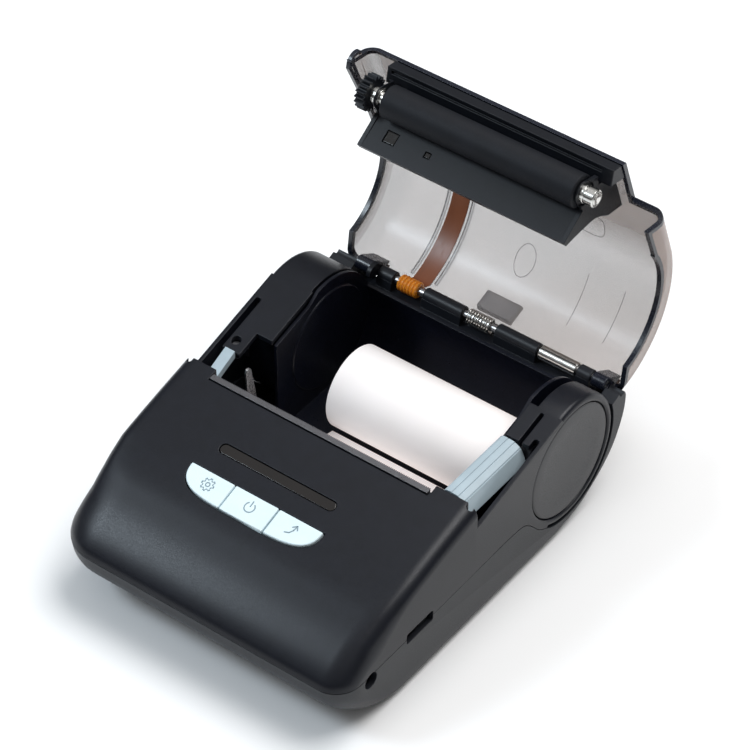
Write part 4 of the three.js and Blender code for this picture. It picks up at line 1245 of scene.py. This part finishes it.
def build_platen(looks):
    bright = looks["bright"]
    sleeve = tube(PLATEN, PLATEN_R, AXLE_BORE_R, -PLATEN_HALF, PLATEN_HALF, 0.35, 128)
    place(sleeve, "platen_sleeve", looks["rubber"], "platen_rubber", swung=True)
    axle = [(-50.6, 2.1), (-50.2, AXLE_R), (-41, AXLE_R), (46.4, AXLE_R), (46.9, 2.1), (46.9, 1.0),
            (46.3, 0.02)]
    place(turned(PLATEN, axle, 64), "platen_axle", bright, "platen_shaft", swung=True)
    left_bush = tube(PLATEN, BUSH_R, BUSH_BORE_R, -46.2, -42.6, 0.3, 64)
    place(left_bush, "bush_left", bright, "bushing_left", swung=True)
    grooved = [(40.3, BUSH_BORE_R), (40.3, 3.0), (40.6, BUSH_R), (42.2, BUSH_R), (42.4, 3.05), (42.9, 3.05),
               (43.1, BUSH_R), (46.2, BUSH_R), (46.6, 2.9), (46.6, BUSH_BORE_R)]
    place(turned(PLATEN, grooved, 64, closed=True), "bush_right", bright, "bushing_right", swung=True)
    teeth = prism(gear_outline(PLATEN, GEAR_TEETH, GEAR_MODULE), -50.4, -46.5)
    dish = tube(PLATEN, 4.6, 3.5, -51, -49.6, 0.0, 64)
    wheel = cut(teeth, rod(PLATEN, AXLE_BORE_R, -52, -45, segments=48), dish)
    place(wheel, "platen_wheel", looks["black"], "platen_gear", swung=True, bevel=0.12)


def build_flex(looks):
    r = LID_R - LID_WALL
    outer = arc(LID_CENTRE, r - 0.3, 112, 25, 72)
    inner = arc(LID_CENTRE, r - 0.7, 25, 112, 72)
    turn_in = [(61.5, 46), (61.2, 46.3)]
    strip = prism(outer + turn_in + inner, -32.8, -25.4)
    place(strip, "flex_ribbon", looks["ribbon"], "flex_strip", swung=True, angle=60)


# ---- CAD pieces kept as they are


def dress(name, look):
    """Keeps a CAD piece, gives it its look and merges the points at its corners."""
    piece = frame["nodes"][name]
    piece.data.materials.clear()
    piece.data.materials.append(look)
    weld = piece.modifiers.new("weld", "WELD")
    weld.merge_threshold = 1e-6


# name, colour, roughness, grain, bump, edge, wear and the other settings of finish_material
FINISHES = {
    "case": ("case_plastic", (0.0055, 0.0065, 0.0105), 0.36, 2600, 0.22, 0.45, 1.3, dict(specular=0.3)),
    "base": ("base_plastic", (0.01, 0.0115, 0.0155), 0.42, 2600, 0.22, 0.4, 1.4, dict(specular=0.36)),
    "cap": ("cap_plastic", (0.015, 0.0155, 0.019), 0.42, 2600, 0.2, 0.3, 1.4, {}),
    "bay": ("bay_plastic", (0.0035, 0.0045, 0.01), 0.34, 1800, 0.1, 0.3, 1.8, dict(specular=0.3)),
    "black": ("black_plastic", (0.006, 0.007, 0.01), 0.4, 2200, 0.12, 0.25, 2.0, dict(specular=0.28)),
    "key": ("key_plastic", (0.67, 0.79, 0.83), 0.38, 1800, 0.06, 0.3, 1.06, dict(vary=0.03)),
    "mark": ("mark_ink", (0.22, 0.3, 0.34), 0.5, 3000, 0.03, 0.05, 1.1, dict(vary=0.06)),
    "lever": ("lever_plastic", (0.36, 0.44, 0.485), 0.4, 1800, 0.08, 0.3, 1.15, dict(vary=0.05)),
    "lens": ("lens_plastic", (0.012, 0.01, 0.0095), 0.16, 900, 0.03, 0.2, 2.2,
             dict(vary=0.1, rough_vary=0.03)),
    "saw": ("saw_steel", (0.2, 0.2, 0.215), 0.34, 2600, 0.03, 0.1, 1.5, dict(metallic=1, vary=0.05)),
    "steel": ("steel", (0.5, 0.5, 0.51), 0.3, 1500, 0.08, 0.15, 1.2,
              dict(metallic=1, vary=0.08, stretch=(0.15, 1, 1))),
    "bright": ("bright_steel", (0.74, 0.73, 0.7), 0.2, 1500, 0.06, 0.15, 1.15,
               dict(metallic=1, vary=0.06, stretch=(0.2, 1, 1), rough_vary=0.05)),
    "dark_steel": ("dark_steel", (0.16, 0.16, 0.17), 0.4, 1500, 0.1, 0.2, 1.5, dict(metallic=1, vary=0.12)),
    "rubber": ("platen_rubber", (0.0045, 0.0055, 0.0085), 0.62, 2500, 0.18, 0.3, 1.4,
               dict(vary=0.15, specular=0.25)),
    "foot": ("foot_rubber", (0.02, 0.02, 0.022), 0.8, 1800, 0.25, 0.3, 1.3, dict(vary=0.15)),
    "flex": ("flex_amber", (0.82, 0.27, 0.02), 0.24, 900, 0.05, 0.2, 1.3, dict(vary=0.12)),
    "ribbon": ("flex_ribbon", (0.27, 0.085, 0.035), 0.35, 700, 0.05, 0.1, 1.3,
               dict(vary=0.1, stretch=(6, 0.4, 0.4))),
    "card": ("core_card", (0.42, 0.28, 0.16), 0.85, 1400, 0.2, 0.15, 1.1, dict(vary=0.12)),
    "board": ("circuit_board", (0.02, 0.1, 0.05), 0.4, 900, 0.1, 0.2, 1.4, dict(vary=0.15)),
    "cell": ("battery_wrap", (0.05, 0.11, 0.3), 0.35, 900, 0.08, 0.4, 1.2, dict(vary=0.08)),
    "alloy": ("alloy", (0.4, 0.41, 0.43), 0.35, 1500, 0.12, 0.2, 1.2, dict(metallic=1, vary=0.08)),
    "rim": ("smoked_rim", (0.01, 0.012, 0.02), 0.25, 1500, 0.05, 0.3, 2.2, dict(vary=0.1)),
}

KEPT = {
    "black": ("battery_door", "dc_jack", "print_head", "tear_bar_holder", "motor_pinion", "idler_gear"),
    "dark_steel": ("cheek_screw", "head_frame", "gearbox_plate", "case_screw_1", "case_screw_2",
                   "case_screw_3", "case_screw_4"),
    "steel": ("usb_connector", "head_spring_left", "head_spring_right"),
    "alloy": ("heat_sink", "step_motor"),
    "board": ("main_board", "key_board"),
    "cell": ("battery_pack",),
    "paper": ("paper_leader",),
    "foot": ("foot_1", "foot_2", "foot_3", "foot_4"),
}


def make_looks():
    looks = {}
    for key, (*values, others) in FINISHES.items():
        looks[key] = finish_material(*values, **others)
    looks["paper"] = paper_material()
    looks["wound"] = wound_material()
    looks["smoke"] = smoke_material("smoked_plastic", (0.34, 0.255, 0.22), 0.37, 0.95)
    looks["smoke_tab"] = smoke_material("smoked_tab", (0.15, 0.135, 0.14), 0.5, 0.9)
    return looks


def main():
    make_camera()
    make_stage()
    looks = make_looks()
    for build in (build_cover, build_base, build_caps, build_tub, build_keys, build_window, build_tear_bar,
                  build_latches, build_shafts, build_hinge, build_spring, build_paper, build_lid,
                  build_skin_marks, build_spring_pocket, build_lip, build_bracket, build_platen, build_flex):
        build(looks)
    for look, names in KEPT.items():
        for name in names:
            dress(name, looks[look])


main()
